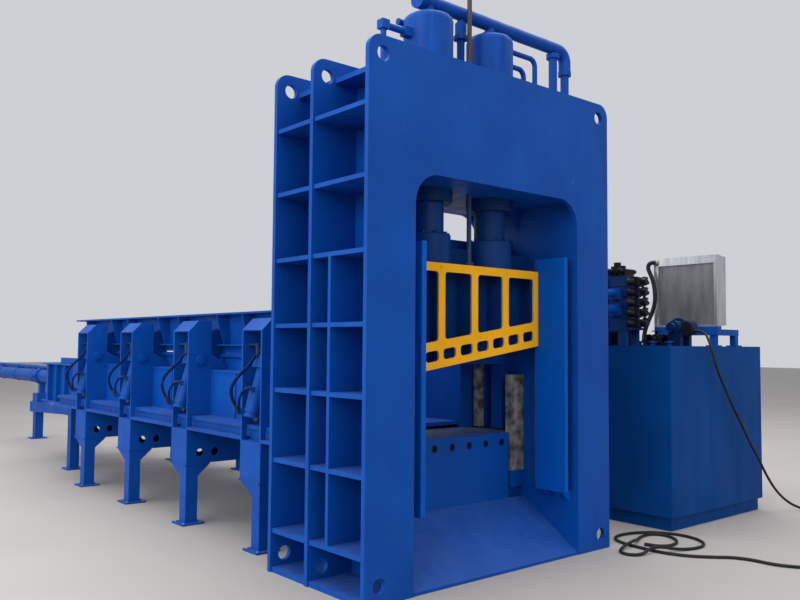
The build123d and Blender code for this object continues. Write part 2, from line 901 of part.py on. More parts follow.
# Feed box: bed frames with flared legs, hollow cross-beams and the posts of the flap cylinders
def bed_frame(row):
    """One cross-beam on two legs, with the pair of post plates on its near end."""
    middle = row + bed_box_width / 2
    beam_height = bed_box_top - bed_box_bottom
    beam_z = (bed_box_top + bed_box_bottom) / 2
    with BuildPart() as frame:
        with Locations((0, middle, beam_z)):
            Box(2 * bed_half, bed_box_width, beam_height)
            Box(
                2 * (bed_half - bed_wall),
                bed_box_width - 2 * bed_wall,
                beam_height - 2 * bed_wall,
                mode=Mode.SUBTRACT,
            )
        with BuildSketch(Plane.XZ.offset(-row - bed_box_width)):
            for x in light_hole_x:
                with Locations((-x, light_hole_z), (x, light_hole_z)):
                    Circle(light_hole / 2)
        extrude(amount=bed_box_width, mode=Mode.SUBTRACT)
        for side in (-1, 1):
            leg_x = side * (bed_half - leg_size / 2)
            leg_y = row + leg_size / 2
            with BuildSketch(Plane.XY.offset(foot_thickness)):
                with Locations((leg_x, leg_y)):
                    Rectangle(leg_size, leg_size)
            extrude(amount=leg_flare_bottom - foot_thickness)
            with BuildSketch(Plane.XY.offset(leg_flare_bottom)):
                with Locations((leg_x, leg_y)):
                    Rectangle(leg_size, leg_size)
            with BuildSketch(Plane.XY.offset(bed_box_bottom - 12)):
                with Locations((side * (bed_half - leg_flare_x / 2), middle)):
                    Rectangle(leg_flare_x, bed_box_width)
            loft()
            with BuildSketch(Plane.XY.offset(bed_box_bottom - 12)):
                with Locations((side * (bed_half + 6 - leg_flare_x / 2), middle)):
                    Rectangle(leg_flare_x + 12, bed_box_width + 12)
            extrude(amount=12)
            with BuildSketch():
                with Locations((leg_x, leg_y)):
                    Rectangle(foot_size, foot_size)
            extrude(amount=foot_thickness)
        for back_face in (row + post_plate, row + bed_box_width):
            with BuildSketch(Plane.XZ.offset(-back_face)):
                with BuildLine():
                    Polyline(
                        (-bed_half, bed_box_top),
                        (-floor_half - 0.5, bed_box_top),
                        (-floor_half - 0.5, floor_top),
                        (-box_half - wall, floor_top),
                        (-box_half - wall, wall_notch - 60),
                        (-box_half - wall - 70, wall_notch),
                        (post_inner, wall_notch + 60),
                        (post_inner, post_top),
                        (post_top_outer, post_top),
                        (-bed_half, post_shoulder),
                        close=True,
                    )
                make_face()
                with Locations((trunnion_x, trunnion_z)):
                    Circle(trunnion_pin / 2 + pivot_clearance, mode=Mode.SUBTRACT)
            extrude(amount=post_plate)
        for back_face in (row, row + bed_box_width + trunnion_boss_height):
            with BuildSketch(Plane.XZ.offset(-back_face)):
                with Locations((trunnion_x, trunnion_z)):
                    Circle(trunnion_boss)
            extrude(amount=trunnion_boss_height)
        for back_face in (row - trunnion_boss_height, row + bed_box_width + trunnion_boss_height + 6):
            with BuildSketch(Plane.XZ.offset(-back_face)):
                with Locations((trunnion_x, trunnion_z)):
                    Circle(trunnion_boss - 20)
            extrude(amount=6)
        with BuildSketch(Plane.XZ.offset(-row - bed_box_width)):
            with BuildLine():
                Polyline(
                    (-bed_half, post_shoulder),
                    (post_top_outer, post_top),
                    (post_top_outer + 9, post_top - 9),
                    (-bed_half + 9, post_shoulder - 9),
                    close=True,
                )
            make_face()
        extrude(amount=bed_box_width)
    return frame


for i, row in enumerate(post_rows):
    save(bed_frame(row), f"bed_frame_{i + 1}")

# Floor of the feed box on its two girders
box_start = back_y
box_length = box_end - box_start
spans = [(box_start, post_rows[0])]
spans += [(post_rows[i] + bed_box_width, post_rows[i + 1]) for i in range(bed_count - 1)]
spans.append((post_rows[-1] + bed_box_width, box_end))
with BuildPart() as feed_floor:
    girder_bottom = bed_box_top
    with BuildSketch(Plane.XZ.offset(-box_end)):
        with Locations((0, floor_top - floor_plate / 2)):
            Rectangle(2 * floor_half, floor_plate)
        with Locations([(x, (girder_bottom + floor_top) / 2) for x in (-952, 0, 952)]):
            Rectangle(15, floor_top - girder_bottom)
    extrude(amount=box_length)
    for start, end in spans:
        with BuildSketch(Plane.XY.offset(girder_bottom)):
            for side in (-1, 1):
                with Locations((side * (bed_half - 170), (start + end) / 2)):
                    Rectangle(340, end - start)
        extrude(amount=girder_flange)
save(feed_floor, "feed_floor")

# Near side wall with its shelf, stiffeners and hinge brackets
shelf_plate = 16
with BuildPart() as near_wall:
    wall_x = -box_half - wall / 2
    shelf_width = pin_shelf_half - box_half - wall
    shelf_x = -box_half - wall - shelf_width / 2
    with BuildSketch(Plane.XY.offset(floor_top)):
        with Locations((wall_x, (box_start + box_end) / 2)):
            Rectangle(wall, box_length)
    extrude(amount=wall_notch - floor_top)
    for start, end in spans:
        with BuildSketch(Plane.XY.offset(pin_shelf_z - shelf_plate)):
            with Locations((shelf_x, (start + end) / 2)):
                Rectangle(shelf_width, end - start)
        extrude(amount=shelf_plate)
        with BuildSketch(Plane.XY.offset(floor_top)):
            with Locations((-pin_shelf_half + 18, (start + end) / 2)):
                Rectangle(wall, end - start)
        extrude(amount=pin_shelf_z - shelf_plate - floor_top)
    knuckle_starts = [box_start] + [y + 80 for y in station_rows]
    knuckle_ends = [y - 80 for y in station_rows] + [box_end]
    for start, end in zip(knuckle_starts, knuckle_ends):
        with BuildSketch(Plane.XY.offset(wall_notch)):
            with Locations((wall_x, (start + end) / 2)):
                Rectangle(wall, end - start)
        extrude(amount=wall_top - wall_notch)
        with BuildSketch(Plane.XZ.offset(-end)):
            with Locations((hinge_x, hinge_z)):
                Circle(hinge_pin / 2 + 4)
            with Locations((hinge_x + 9, (wall_top + hinge_z) / 2)):
                Rectangle(18, hinge_z - wall_top)
        extrude(amount=end - start)
    rib_rows = [post_rows[0] - 240] + [row + 800 for row in post_rows]
    for y in rib_rows:
        with BuildSketch(Plane.XY.offset(floor_top)):
            with Locations((shelf_x, y)):
                Rectangle(shelf_width, 14)
        extrude(amount=pin_shelf_z - shelf_plate - floor_top)
    for y in station_rows:
        for back_face in (y - 58, y + 78):
            with BuildSketch(Plane.XZ.offset(-back_face)):
                with Locations((hinge_x, hinge_z)):
                    Circle(hinge_bracket / 2)
                with Locations((wall_x, (wall_notch + hinge_z) / 2 - 30)):
                    Rectangle(hinge_bracket * 0.8, hinge_z - wall_notch + 20)
            extrude(amount=20)
        with BuildSketch(Plane.XZ.offset(-y - 78)):
            with Locations((hinge_x, hinge_z)):
                Circle(hinge_pin / 2)
        extrude(amount=156)
save(near_wall, "near_wall")

# Far side wall with its flange and leaning stiffeners
with BuildPart() as far_wall:
    with BuildSketch(Plane.XZ.offset(-box_end)):
        with Locations((box_half + wall / 2, (floor_top + far_wall_top) / 2)):
            Rectangle(wall, far_wall_top - floor_top)
        with Locations(((box_half + flange_half) / 2, far_wall_top - 8)):
            Rectangle(flange_half - box_half, 16)
    extrude(amount=box_length)
    for y in [box_start + 260] + [row + step for row in post_rows for step in (160, 800)]:
        with BuildSketch(Plane.XZ.offset(-y)):
            with BuildLine():
                Polyline(
                    (box_half + wall, floor_top),
                    (floor_half, floor_top),
                    (floor_half, floor_top + 90),
                    (flange_half - 10, far_wall_top - 16),
                    (box_half + wall, far_wall_top - 16),
                    close=True,
                )
            make_face()
        extrude(amount=16)
save(far_wall, "far_wall")

# Side flap: leaning panel with a wide top flange, ribs and the arms that its cylinders push
panel_foot_x = -box_half - wall
panel_head_x = panel_foot_x - panel_lean
flap_shelf_z = 1587
flange_plate = 16
with BuildPart() as side_flap:
    flap_length = flap_end - flap_start
    with BuildSketch(Plane.XZ.offset(-flap_end)):
        with BuildLine():
            Polyline(
                (panel_foot_x, panel_bottom),
                (panel_foot_x + wall, panel_bottom),
                (panel_head_x + wall, flange_z),
                (panel_head_x, flange_z),
                close=True,
            )
        make_face()
        with Locations(((panel_head_x - flange_half) / 2 + 4, flange_z - flange_plate / 2)):
            Rectangle(flange_half + panel_head_x + 8, flange_plate)
        with Locations(((panel_foot_x - 715) / 2, flap_shelf_z)):
            Rectangle(715 + panel_foot_x, 15)
    extrude(amount=flap_length)
    for y in [row + step for row in post_rows for step in (-40, 760)]:
        with BuildSketch(Plane.XZ.offset(-y - 7)):
            with BuildLine():
                Polyline(
                    (panel_foot_x - 8, flap_shelf_z),
                    (-713, flap_shelf_z),
                    (-flange_half + 6, flange_z - 40),
                    (-flange_half + 6, flange_z - flange_plate),
                    (panel_head_x, flange_z - flange_plate),
                    close=True,
                )
            make_face()
        extrude(amount=14)
    for y in station_rows:
        for back_face in (y - rod_eye_width / 2 - arm_gap, y + rod_eye_width / 2 + arm_gap + arm_plate):
            with BuildSketch(Plane.XZ.offset(-back_face)):
                with Locations((hinge_x, hinge_z)):
                    Circle(hinge_pin / 2 + 16)
                with Locations((lug_x, lug_z)):
                    Circle(lug_radius)
                with Locations((panel_foot_x - 24, flange_z - 150)):
                    Circle(12)
                make_hull()
            extrude(amount=arm_plate)
        with BuildSketch(Plane.XZ.offset(-y - rod_eye_width / 2 - arm_gap - arm_plate)):
            with Locations((lug_x, lug_z)):
                Circle(lug_pin / 2)
        extrude(amount=rod_eye_width + 2 * arm_gap + 2 * arm_plate)
        with BuildSketch(Plane.XZ.offset(-y - 60)):
            with Locations((hinge_x, hinge_z)):
                Circle(hinge_pin / 2 + pivot_clearance)
        extrude(amount=120, mode=Mode.SUBTRACT)
save(side_flap, "side_flap")

# Flap cylinders: trunnion block between the posts, slim neck, collar and barrel hanging below
rod_axis = (sin(radians(rod_lean)), 0, cos(radians(rod_lean)))


def tilted_plane(y, along):
    """Plane square to a flap cylinder's axis, a distance along it above the trunnion."""
    origin = (trunnion_x + along * rod_axis[0], y, trunnion_z + along * rod_axis[2])
    return Plane(origin=origin, x_dir=(0, 1, 0), z_dir=rod_axis)


with BuildPart() as flap_barrels:
    for y in station_rows:
        with BuildSketch(tilted_plane(y, -trunnion_block[2] / 2)) as block_face:
            Rectangle(trunnion_block[0], trunnion_block[1])
            chamfer(block_face.vertices().group_by(Axis.X)[0], 16)
            chamfer(block_face.vertices().group_by(Axis.X)[-1], 16)
        extrude(amount=trunnion_block[2])
        with BuildSketch(Plane.XZ.offset(-y - bed_box_width / 2 + 2)):
            with Locations((trunnion_x, trunnion_z)):
                Circle(trunnion_pin / 2)
        extrude(amount=bed_box_width - 4)
        for start, end, radius in (
            (-flap_neck_end, -trunnion_block[2] / 2, flap_neck_radius),
            (-flap_collar_end, -flap_neck_end, flap_barrel_radius + 5),
            (-flap_barrel_end, -flap_collar_end, flap_barrel_radius),
            (-flap_barrel_end - 24, -flap_barrel_end, flap_barrel_radius + 6),
            (trunnion_block[2] / 2, trunnion_block[2] / 2 + 18, flap_rod_radius + 17),
        ):
            with BuildSketch(tilted_plane(y, start)):
                Circle(radius)
            extrude(amount=end - start)
        with BuildSketch(tilted_plane(y, -flap_barrel_end - 18)):
            with Locations((34, flap_barrel_radius + 10)):
                Rectangle(44, 44)
        extrude(amount=44)
        with BuildSketch(tilted_plane(y, -flap_collar_end - 6)):
            with Locations((-30, flap_barrel_radius + 2)):
                Rectangle(36, 30)
        extrude(amount=36)
        with BuildSketch(tilted_plane(y, -flap_barrel_end + 10)):
            Circle(flap_rod_radius + 0.08)
        extrude(amount=flap_barrel_end + 200, mode=Mode.SUBTRACT)
save(flap_barrels, "flap_barrels")

with BuildPart() as flap_rods:
    for y in station_rows:
        with BuildSketch(tilted_plane(y, -flap_barrel_end + 20)):
            Circle(flap_rod_radius)
        extrude(amount=flap_barrel_end - 20 + rod_reach - 30)
        with BuildSketch(Plane.XZ.offset(-y - rod_eye_width / 2)):
            with Locations((lug_x, lug_z)):
                Circle(lug_radius + 2)
        extrude(amount=rod_eye_width)
        with BuildSketch(Plane.XZ.offset(-y - rod_eye_width / 2)):
            with Locations((lug_x, lug_z)):
                Circle(lug_pin / 2 + open_pivot_clearance)
        extrude(amount=rod_eye_width, mode=Mode.SUBTRACT)
save(flap_rods, "flap_rods")

# Rear trough with its ribs, flanges and the crosshead that carries the feed cylinder
crosshead = 40
trough_half = box_half + wall
with BuildPart() as rear_trough:
    with BuildSketch(Plane.XZ.offset(-trough_end)):
        with Locations((0, floor_top - floor_plate / 2)):
            Rectangle(2 * box_half, floor_plate)
        for side in (-1, 1):
            with Locations((side * (box_half + wall / 2), (trough_bottom + trough_top) / 2)):
                Rectangle(wall, trough_top - trough_bottom)
            with Locations((side * (trough_half + 30), trough_top - 8)):
                Rectangle(60, 16)
            with Locations((side * (trough_half + 30), trough_bottom + 8)):
                Rectangle(60, 16)
    extrude(amount=trough_end - box_end)
    trough_rib_count = int((trough_end - box_end) / trough_rib_pitch)
    for i in range(trough_rib_count + 1):
        y = box_end + 14 + i * trough_rib_pitch
        with BuildSketch(Plane.XZ.offset(-y)):
            for side in (-1, 1):
                with Locations((side * (trough_half + 29), (trough_bottom + trough_top) / 2)):
                    Rectangle(58, trough_top - trough_bottom)
        extrude(amount=14)
    with BuildSketch(Plane.XZ.offset(-trough_end)):
        with Locations((0, (trough_bottom + trough_top) / 2)):
            Rectangle(2 * trough_half, trough_top - trough_bottom)
        with Locations((0, feed_axis_z)):
            Circle(feed_rod_radius + 20, mode=Mode.SUBTRACT)
    extrude(amount=crosshead)
save(rear_trough, "rear_trough")

# Feed cylinder behind the trough, with its gland flange, end cap and the pressure line along its top
feed_barrel_end = trough_end + feed_barrel_length
line_z = feed_axis_z + feed_barrel_radius + line_radius + 3
with BuildPart() as feed_cylinder:
    for start, end, radius in (
        (trough_end, trough_end + 45, feed_barrel_radius + 60),
        (trough_end + 45, feed_barrel_end - 60, feed_barrel_radius),
        (feed_barrel_end - 60, feed_barrel_end, feed_barrel_radius + 18),
    ):
        with BuildSketch(Plane.XZ.offset(-end)):
            with Locations((0, feed_axis_z)):
                Circle(radius)
        extrude(amount=end - start)
    for y in (trough_end + 120, feed_barrel_end - 110):
        with BuildSketch(Plane.XY.offset(feed_axis_z)):
            with Locations((0, y)):
                Rectangle(90, 90)
        extrude(amount=line_z + line_radius + 8 - feed_axis_z)
    with BuildSketch(Plane.XZ.offset(-feed_barrel_end + 110)):
        with Locations((0, line_z)):
            Circle(line_radius)
    extrude(amount=feed_barrel_length - 230)
    for i in range(5):
        with BuildSketch(Plane.XZ.offset(-trough_end - 700 - i * 950)):
            with Locations((0, feed_axis_z)):
                Circle(feed_barrel_radius + 7)
            with Locations((0, line_z - 14)):
                Rectangle(2 * line_radius + 16, 2 * line_radius + 10)
        extrude(amount=36)
    with BuildSketch(Plane.XZ.offset(-feed_barrel_end + 70)):
        with Locations((0, feed_axis_z)):
            Circle(feed_rod_radius + rod_clearance)
    extrude(amount=feed_barrel_length - 70, mode=Mode.SUBTRACT)
save(feed_cylinder, "feed_cylinder")

# Pusher head and its rod
pusher_front = box_end + 146
pusher_back = pusher_front + pusher_length
pusher_half = box_half - pusher_side_gap
pusher_low = floor_top + 0.5
with BuildPart() as pusher_head:
    with BuildSketch(Plane.XZ.offset(-pusher_front - 50)):
        with Locations((0, pusher_low + pusher_height / 2)):
            Rectangle(2 * pusher_half, pusher_height)
    extrude(amount=50)
    with BuildSketch(Plane.XZ.offset(-pusher_back)):
        for x in (-pusher_half + 15, -200, 200, pusher_half - 15):
            with Locations((x, pusher_low + pusher_height / 2 - 20)):
                Rectangle(30, pusher_height - 40)
        with Locations((0, pusher_low + 15)):
            Rectangle(2 * pusher_half, 30)
    extrude(amount=pusher_length)
    for y in (pusher_front + 300, pusher_front + 600):
        with BuildSketch(Plane.XZ.offset(-y - 12)):
            with Locations((0, pusher_low + pusher_height / 2 - 35)):
                Rectangle(2 * pusher_half, pusher_height - 70)
        extrude(amount=24)
    with BuildSketch(Plane.XZ.offset(-pusher_front - 690)):
        with Locations((0, feed_axis_z)):
            Circle(feed_rod_radius + 18)
    extrude(amount=100)
    with BuildSketch(Plane.XZ.offset(-pusher_back)):
        with Locations((0, feed_axis_z)):
            Circle(feed_rod_radius + 0.3)
    extrude(amount=pusher_length - 612, mode=Mode.SUBTRACT)
save(pusher_head, "pusher_head")

with BuildPart() as feed_rod:
    rod_end = feed_barrel_end - 90
    rod_start = pusher_front + 612
    with BuildSketch(Plane.XZ.offset(-rod_end)):
        with Locations((0, feed_axis_z)):
            Circle(feed_rod_radius)
    extrude(amount=rod_end - rod_start)
save(feed_rod, "feed_rod")

# Rear frame: portal under the trough, long tapered spine and the stand of the feed cylinder
spine_end = end_leg_y + end_leg
with BuildPart() as rear_frame:
    beam_bottom = 560
    with BuildSketch(Plane.XZ.offset(-rear_leg_y - rear_leg)) as portal_face:
        with Locations((0, (trough_bottom + foot_thickness) / 2)):
            Rectangle(2 * rear_leg_half, trough_bottom - foot_thickness)
        with Locations((0, (beam_bottom + foot_thickness) / 2)):
            Rectangle(2 * (rear_leg_half - rear_leg), beam_bottom - foot_thickness, mode=Mode.SUBTRACT)
        inner = [v for v in portal_face.vertices() if abs(v.Y - beam_bottom) < 1]
        fillet(inner, 120)
    extrude(amount=rear_leg)
    with BuildSketch():
        for side in (-1, 1):
            with Locations((side * (rear_leg_half - rear_leg / 2), rear_leg_y + rear_leg / 2)):
                Rectangle(foot_size, foot_size)
        with Locations((0, end_leg_y + end_leg / 2)):
            Rectangle(240, 240)
    extrude(amount=foot_thickness)
    with BuildSketch(Plane.YZ.offset(-spine_half)):
        with BuildLine():
            Polyline(
                (rear_leg_y + rear_leg, spine_top),
                (spine_end, spine_top),
                (spine_end, spine_top - 170),
                (end_leg_y, spine_top - 170),
                (end_leg_y - 1550, spine_top - 110),
                (rear_leg_y + rear_leg, spine_top - 110),
                close=True,
            )
        make_face()
    extrude(amount=2 * spine_half)
    with BuildSketch(Plane.XY.offset(foot_thickness)):
        with Locations((0, end_leg_y + end_leg / 2)):
            Rectangle(end_leg, end_leg)
    extrude(amount=spine_top - 170 - foot_thickness)
    stand_y = 9765
    with BuildSketch(Plane.XY.offset(spine_top)):
        with Locations((0, stand_y)):
            Rectangle(2 * spine_half - 20, 230)
    extrude(amount=140)
    with BuildSketch(Plane.XY.offset(spine_top + 140)):
        with Locations((0, stand_y)):
            Rectangle(90, 100)
    extrude(amount=150)
    with BuildSketch(Plane.XZ.offset(-stand_y - 50)):
        with Locations((0, feed_axis_z)):
            Circle(feed_barrel_radius + 26)
        with Locations((0, feed_axis_z)):
            Rectangle(2 * feed_barrel_radius + 150, 40)
        with Locations((0, feed_axis_z)):
            Circle(feed_barrel_radius + 0.3, mode=Mode.SUBTRACT)
        with Locations((0, line_z)):
            Rectangle(2 * line_radius + 24, 2 * line_radius + 24, mode=Mode.SUBTRACT)
    extrude(amount=100)
save(rear_frame, "rear_frame")


# Hydraulic pipes over the beam and down to the power unit
with BuildPart() as header_pipe:
    header_low = header_z - header_drop
    with BuildLine(Plane.XZ.offset(-header_y)) as route:
        FilletPolyline((header_left, header_z), (drop_x[1], header_z), (drop_x[1], header_low), radius=100)
    with BuildSketch(Plane.YZ.offset(header_left)):
        with Locations((header_y, header_z)):
            Circle(header_radius)
    sweep(path=route.wires()[0])
    with BuildSketch(Plane.YZ.offset(header_left - 26)):
        with Locations((header_y, header_z)):
            Circle(header_radius + 20)
    extrude(amount=50)
    for x in (-cylinder_x, cylinder_x):
        with BuildSketch(Plane.XY.offset(barrel_top)):
            with Locations((x, header_y)):
                Circle(40)
        extrude(amount=header_z - barrel_top)
        for low, height in ((barrel_top, 20), (barrel_top + 23, 20)):
            with BuildSketch(Plane.XY.offset(low)):
                with Locations((x, header_y)):
                    Circle(66)
            extrude(amount=height)
        with BuildSketch(Plane.XY.offset(barrel_top + 18)):
            with Locations((x, header_y)):
                Circle(58)
        extrude(amount=8)
save(header_pipe, "header_pipe")

# Two drops: the outer goes straight down beside the column, the inner steps out over the column's top shelf
tank_face = manifold_x
outer_drop = [
    (drop_x[1], header_y, header_low),
    (drop_x[1], header_y, run_z[1]),
    (frame_half + 455, run_y, run_z[1]),
    (tank_face, run_y, run_z[1]),
]
inner_top = header_z - header_radius - 1
inner_drop = [
    (drop_x[0], header_y, inner_top),
    (drop_x[0], header_y, jog_z),
    (frame_half + 175, header_y - 203, jog_z),
    (frame_half + 175, header_y - 203, run_z[0]),
    (frame_half + 555, run_y, run_z[0]),
    (tank_face, run_y, run_z[0]),
]
with BuildPart() as pressure_pipes:
    for points in (outer_drop, inner_drop):
        with BuildLine() as route:
            FilletPolyline(*points, radius=95)
        with BuildSketch(Plane.XY.offset(points[0][2])):
            with Locations(points[0][:2]):
                Circle(branch_radius)
        sweep(path=route.wires()[0])
        with BuildSketch(Plane.XY.offset(points[0][2] - 40)):
            with Locations(points[0][:2]):
                Circle(branch_radius + 20)
        extrude(amount=40)
        for start, length in ((tank_face - 44, 22), (tank_face - 20, 20)):
            with BuildSketch(Plane.YZ.offset(start)):
                with Locations((run_y, points[-1][2])):
                    Rectangle(110, 110)
            extrude(amount=length)
    with BuildSketch(Plane.YZ.offset(drop_x[0] - 60)):
        with Locations((header_y, header_z)):
            Circle(header_radius + 0.3)
    extrude(amount=120, mode=Mode.SUBTRACT)
save(pressure_pipes, "pressure_pipes")

valve_x = 8
with BuildPart() as prefill_valve:
    valve_line = 3690
    with BuildLine() as route:
        FilletPolyline(
            (valve_x, header_y, header_z - header_radius - 4),
            (valve_x, header_y, valve_line),
            (0, press_y, valve_line),
            (0, press_y, beam_top + 110),
            radius=60,
        )
    with BuildSketch(Plane.XY.offset(header_z - header_radius - 4)):
        with Locations((valve_x, header_y)):
            Circle(30)
    sweep(path=route.wires()[0])
    for low, height, radius in ((3980, 96, 45), (3948, 28, 56)):
        with BuildSketch(Plane.XY.offset(low)):
            with Locations((valve_x, header_y)):
                Circle(radius)
        extrude(amount=height)
    with BuildSketch(Plane.XY.offset(beam_top + 110)):
        with Locations((0, press_y)):
            Circle(58)
    extrude(amount=30)
    with BuildSketch(Plane.YZ.offset(valve_x - 100)):
        with Locations((header_y, header_z)):
            Circle(header_radius + 0.3)
    extrude(amount=200, mode=Mode.SUBTRACT)
save(prefill_valve, "prefill_valve")

small_radius = 21
with BuildPart() as drain_pipes:
    bend = 60
    port_y = cylinder_y
    right_routes = [(878, 3995), (736, 3875)]
    for x, z in right_routes:
        with BuildLine(Plane.XZ.offset(-port_y)) as route:
            FilletPolyline((cylinder_x + 150, z), (x, z), (x, beam_top), radius=bend)
        with BuildSketch(Plane.YZ.offset(cylinder_x + 150)):
            with Locations((port_y, z)):
                Circle(small_radius)
        sweep(path=route.wires()[0])
        with BuildSketch(Plane.XY.offset(beam_top)):
            with Locations((x, port_y)):
                Circle(small_radius + 9)
        extrude(amount=26)
        with Locations((cylinder_x + barrel_radius + 28, port_y, z)):
            Box(70, 56, 56)
    with BuildSketch(Plane.YZ.offset(-792)):
        with Locations((cylinder_y, 3870)):
            Circle(small_radius + 4)
    extrude(amount=290)
    with BuildSketch(Plane.XY.offset(beam_top)):
        with Locations((-760, cylinder_y)):
            Circle(small_radius)
    extrude(amount=3870 - beam_top)
    with Locations((-760, cylinder_y, 3870), (-cylinder_x - barrel_radius - 30, cylinder_y, 3870)):
        Box(66, 66, 66)
    with BuildSketch(Plane.YZ.offset(-499)):
        with Locations((55, 4008)):
            Circle(small_radius + 4)
    extrude(amount=99)
    for x in (-cylinder_x, cylinder_x):
        with BuildSketch(Plane.XY.offset(beam_top)):
            with Locations((x, cylinder_y)):
                Circle(barrel_radius + 0.3)
        extrude(amount=barrel_top - beam_top, mode=Mode.SUBTRACT)
save(drain_pipes, "drain_pipes")

# Power unit: tank on a plinth with a flat cover, manifold, pilot valves, cooler and pumps
tank_right = tank_left + tank_width
tank_back = tank_front + tank_depth
tank_x = tank_left + tank_width / 2
tank_y = tank_front + tank_depth / 2
with BuildPart() as tank:
    with BuildSketch():
        with Locations((tank_x, tank_y)):
            Rectangle(tank_width - 70, tank_depth - 70)
    extrude(amount=plinth)
    with BuildSketch(Plane.XY.offset(plinth)) as tank_face_sketch:
        with Locations((tank_x, tank_y)):
            Rectangle(tank_width, tank_depth)
        fillet(tank_face_sketch.vertices(), 12)
    extrude(amount=tank_top - plinth)
    with BuildSketch(Plane.YZ.offset(tank_right)):
        for y in (tank_y - 620, tank_y + 620):
            with Locations((y, (tank_top + plinth) / 2)):
                Circle(260)
    extrude(amount=22)
save(tank, "tank")

manifold_width = 240
manifold_front = -54
manifold_length = 600
manifold_low = 1780
slice_count = 5
slice_pitch = 98
with BuildPart() as manifold:
    manifold_mid_x = manifold_x + manifold_width / 2
    manifold_mid_y = manifold_front + manifold_length / 2
    with BuildSketch(Plane.XY.offset(tank_top)):
        for x in (-1, 1):
            for y in (-1, 1):
                with Locations((manifold_mid_x + x * 90, manifold_mid_y + y * 250)):
                    Rectangle(50, 60)
    extrude(amount=manifold_low - tank_top)
    with BuildSketch(Plane.XY.offset(manifold_low - 22)):
        with Locations((manifold_mid_x, manifold_mid_y)):
            Rectangle(manifold_width - 2, manifold_length + 60)
    extrude(amount=22)
    for i in range(slice_count):
        with BuildSketch(Plane.XY.offset(manifold_low + i * slice_pitch)):
            with Locations((manifold_mid_x, manifold_mid_y)):
                Rectangle(manifold_width, manifold_length)
        extrude(amount=slice_pitch - 14)
        with BuildSketch(Plane.XY.offset(manifold_low + (i + 1) * slice_pitch - 14)):
            with Locations((manifold_mid_x, manifold_mid_y)):
                Rectangle(manifold_width - 24, manifold_length - 24)
        extrude(amount=14)
    for i in range(slice_count):
        with BuildSketch(Plane.YZ.offset(manifold_x + manifold_width)):
            for y in (60, 230, 410):
                with Locations((y, manifold_low + i * slice_pitch + 42)):
                    Circle(32)
        extrude(amount=46)
save(manifold, "manifold")

manifold_high = manifold_low + slice_count * slice_pitch
with BuildPart() as pilot_valves:
    for i in range(slice_count):
        with Locations((manifold_mid_x - 10, manifold_front - 45, manifold_low + i * slice_pitch + 42)):
            Box(150, 90, 74)
        with BuildSketch(Plane.XZ.offset(-manifold_front + 90)):
            with Locations((manifold_mid_x - 10, manifold_low + i * slice_pitch + 42)):
                Circle(27)
        extrude(amount=52)
    with Locations((manifold_mid_x, 130, manifold_high + 35), (manifold_mid_x, 330, manifold_high + 35)):
        Box(110, 120, 70)
    for y in (130, 330):
        with BuildSketch(Plane.XY.offset(manifold_high + 70)):
            with Locations((manifold_mid_x, y)):
                Circle(34)
        extrude(amount=70)
save(pilot_valves, "pilot_valves")

# Oil cooler: finned core in a frame, shroud and motor behind it, on a raised base
core_x = tank_left + 1160
core_depth = 80
core_front = -404
core_width = 700
core_low = 1810
core_high = 2520
core_near = 32
core_far = 52
core_head = 79
core_foot = 12
core_mid_y = core_front + core_width / 2
core_mid_z = (core_low + core_high) / 2
fan_radius = 290
shroud_depth = 115
core_window = (core_front + core_near, core_front + core_width - core_far, core_low + core_foot, core_high - core_head)
window_mid = ((core_window[0] + core_window[1]) / 2, (core_window[2] + core_window[3]) / 2)
window_size = (core_window[1] - core_window[0], core_window[3] - core_window[2])
with BuildPart() as cooler_core:
    with BuildSketch(Plane.YZ.offset(core_x + 14)):
        with Locations(window_mid):
            Rectangle(window_size[0] - 0.6, window_size[1] - 0.6)
    extrude(amount=core_depth - 28)
save(cooler_core, "cooler_core")

with BuildPart() as cooler_frame:
    with BuildSketch(Plane.YZ.offset(core_x)):
        with Locations((core_mid_y, core_mid_z)):
            Rectangle(core_width, core_high - core_low)
        with Locations(window_mid):
            Rectangle(window_size[0], window_size[1], mode=Mode.SUBTRACT)
    extrude(amount=core_depth)
    with BuildSketch(Plane.YZ.offset(core_x + core_depth)):
        with Locations((core_mid_y, core_mid_z)):
            Rectangle(core_width - 20, core_high - core_low - 20)
            Circle(fan_radius + 12, mode=Mode.SUBTRACT)
    extrude(amount=shroud_depth)
    motor_x = core_x + core_depth + shroud_depth
    with BuildSketch(Plane.YZ.offset(motor_x - 12)):
        with Locations((core_mid_y, core_mid_z)):
            for angle in (0, 60, 120):
                Rectangle(2 * fan_radius + 40, 16, rotation=angle)
            Circle(70)
    extrude(amount=12)
    with BuildSketch(Plane.YZ.offset(motor_x)):
        with Locations((core_mid_y, core_mid_z)):
            Circle(78)
    extrude(amount=170)
    with Locations((core_x + 40, core_mid_y, core_low - 45)):
        Box(80, core_width, 90)
    with Locations((core_x + 240, core_front + 60, core_low - 60), (core_x + 240, core_front + 640, core_low - 60)):
        Box(480, 60, 60)
    for x in (core_x + 40, core_x + 440):
        for y in (core_front + 60, core_front + 640):
            with BuildSketch(Plane.XY.offset(tank_top)):
                with Locations((x, y)):
                    Rectangle(60, 60)
            extrude(amount=core_low - 90 - tank_top)
            with BuildSketch(Plane.XY.offset(tank_top)):
                with Locations((x, y)):
                    Rectangle(110, 110)
            extrude(amount=12)
    with BuildSketch(Plane.YZ.offset(motor_x - 12)):
        with Locations((core_mid_y, core_mid_z)):
            Circle(14.05)
    extrude(amount=60, mode=Mode.SUBTRACT)
save(cooler_frame, "cooler_frame")

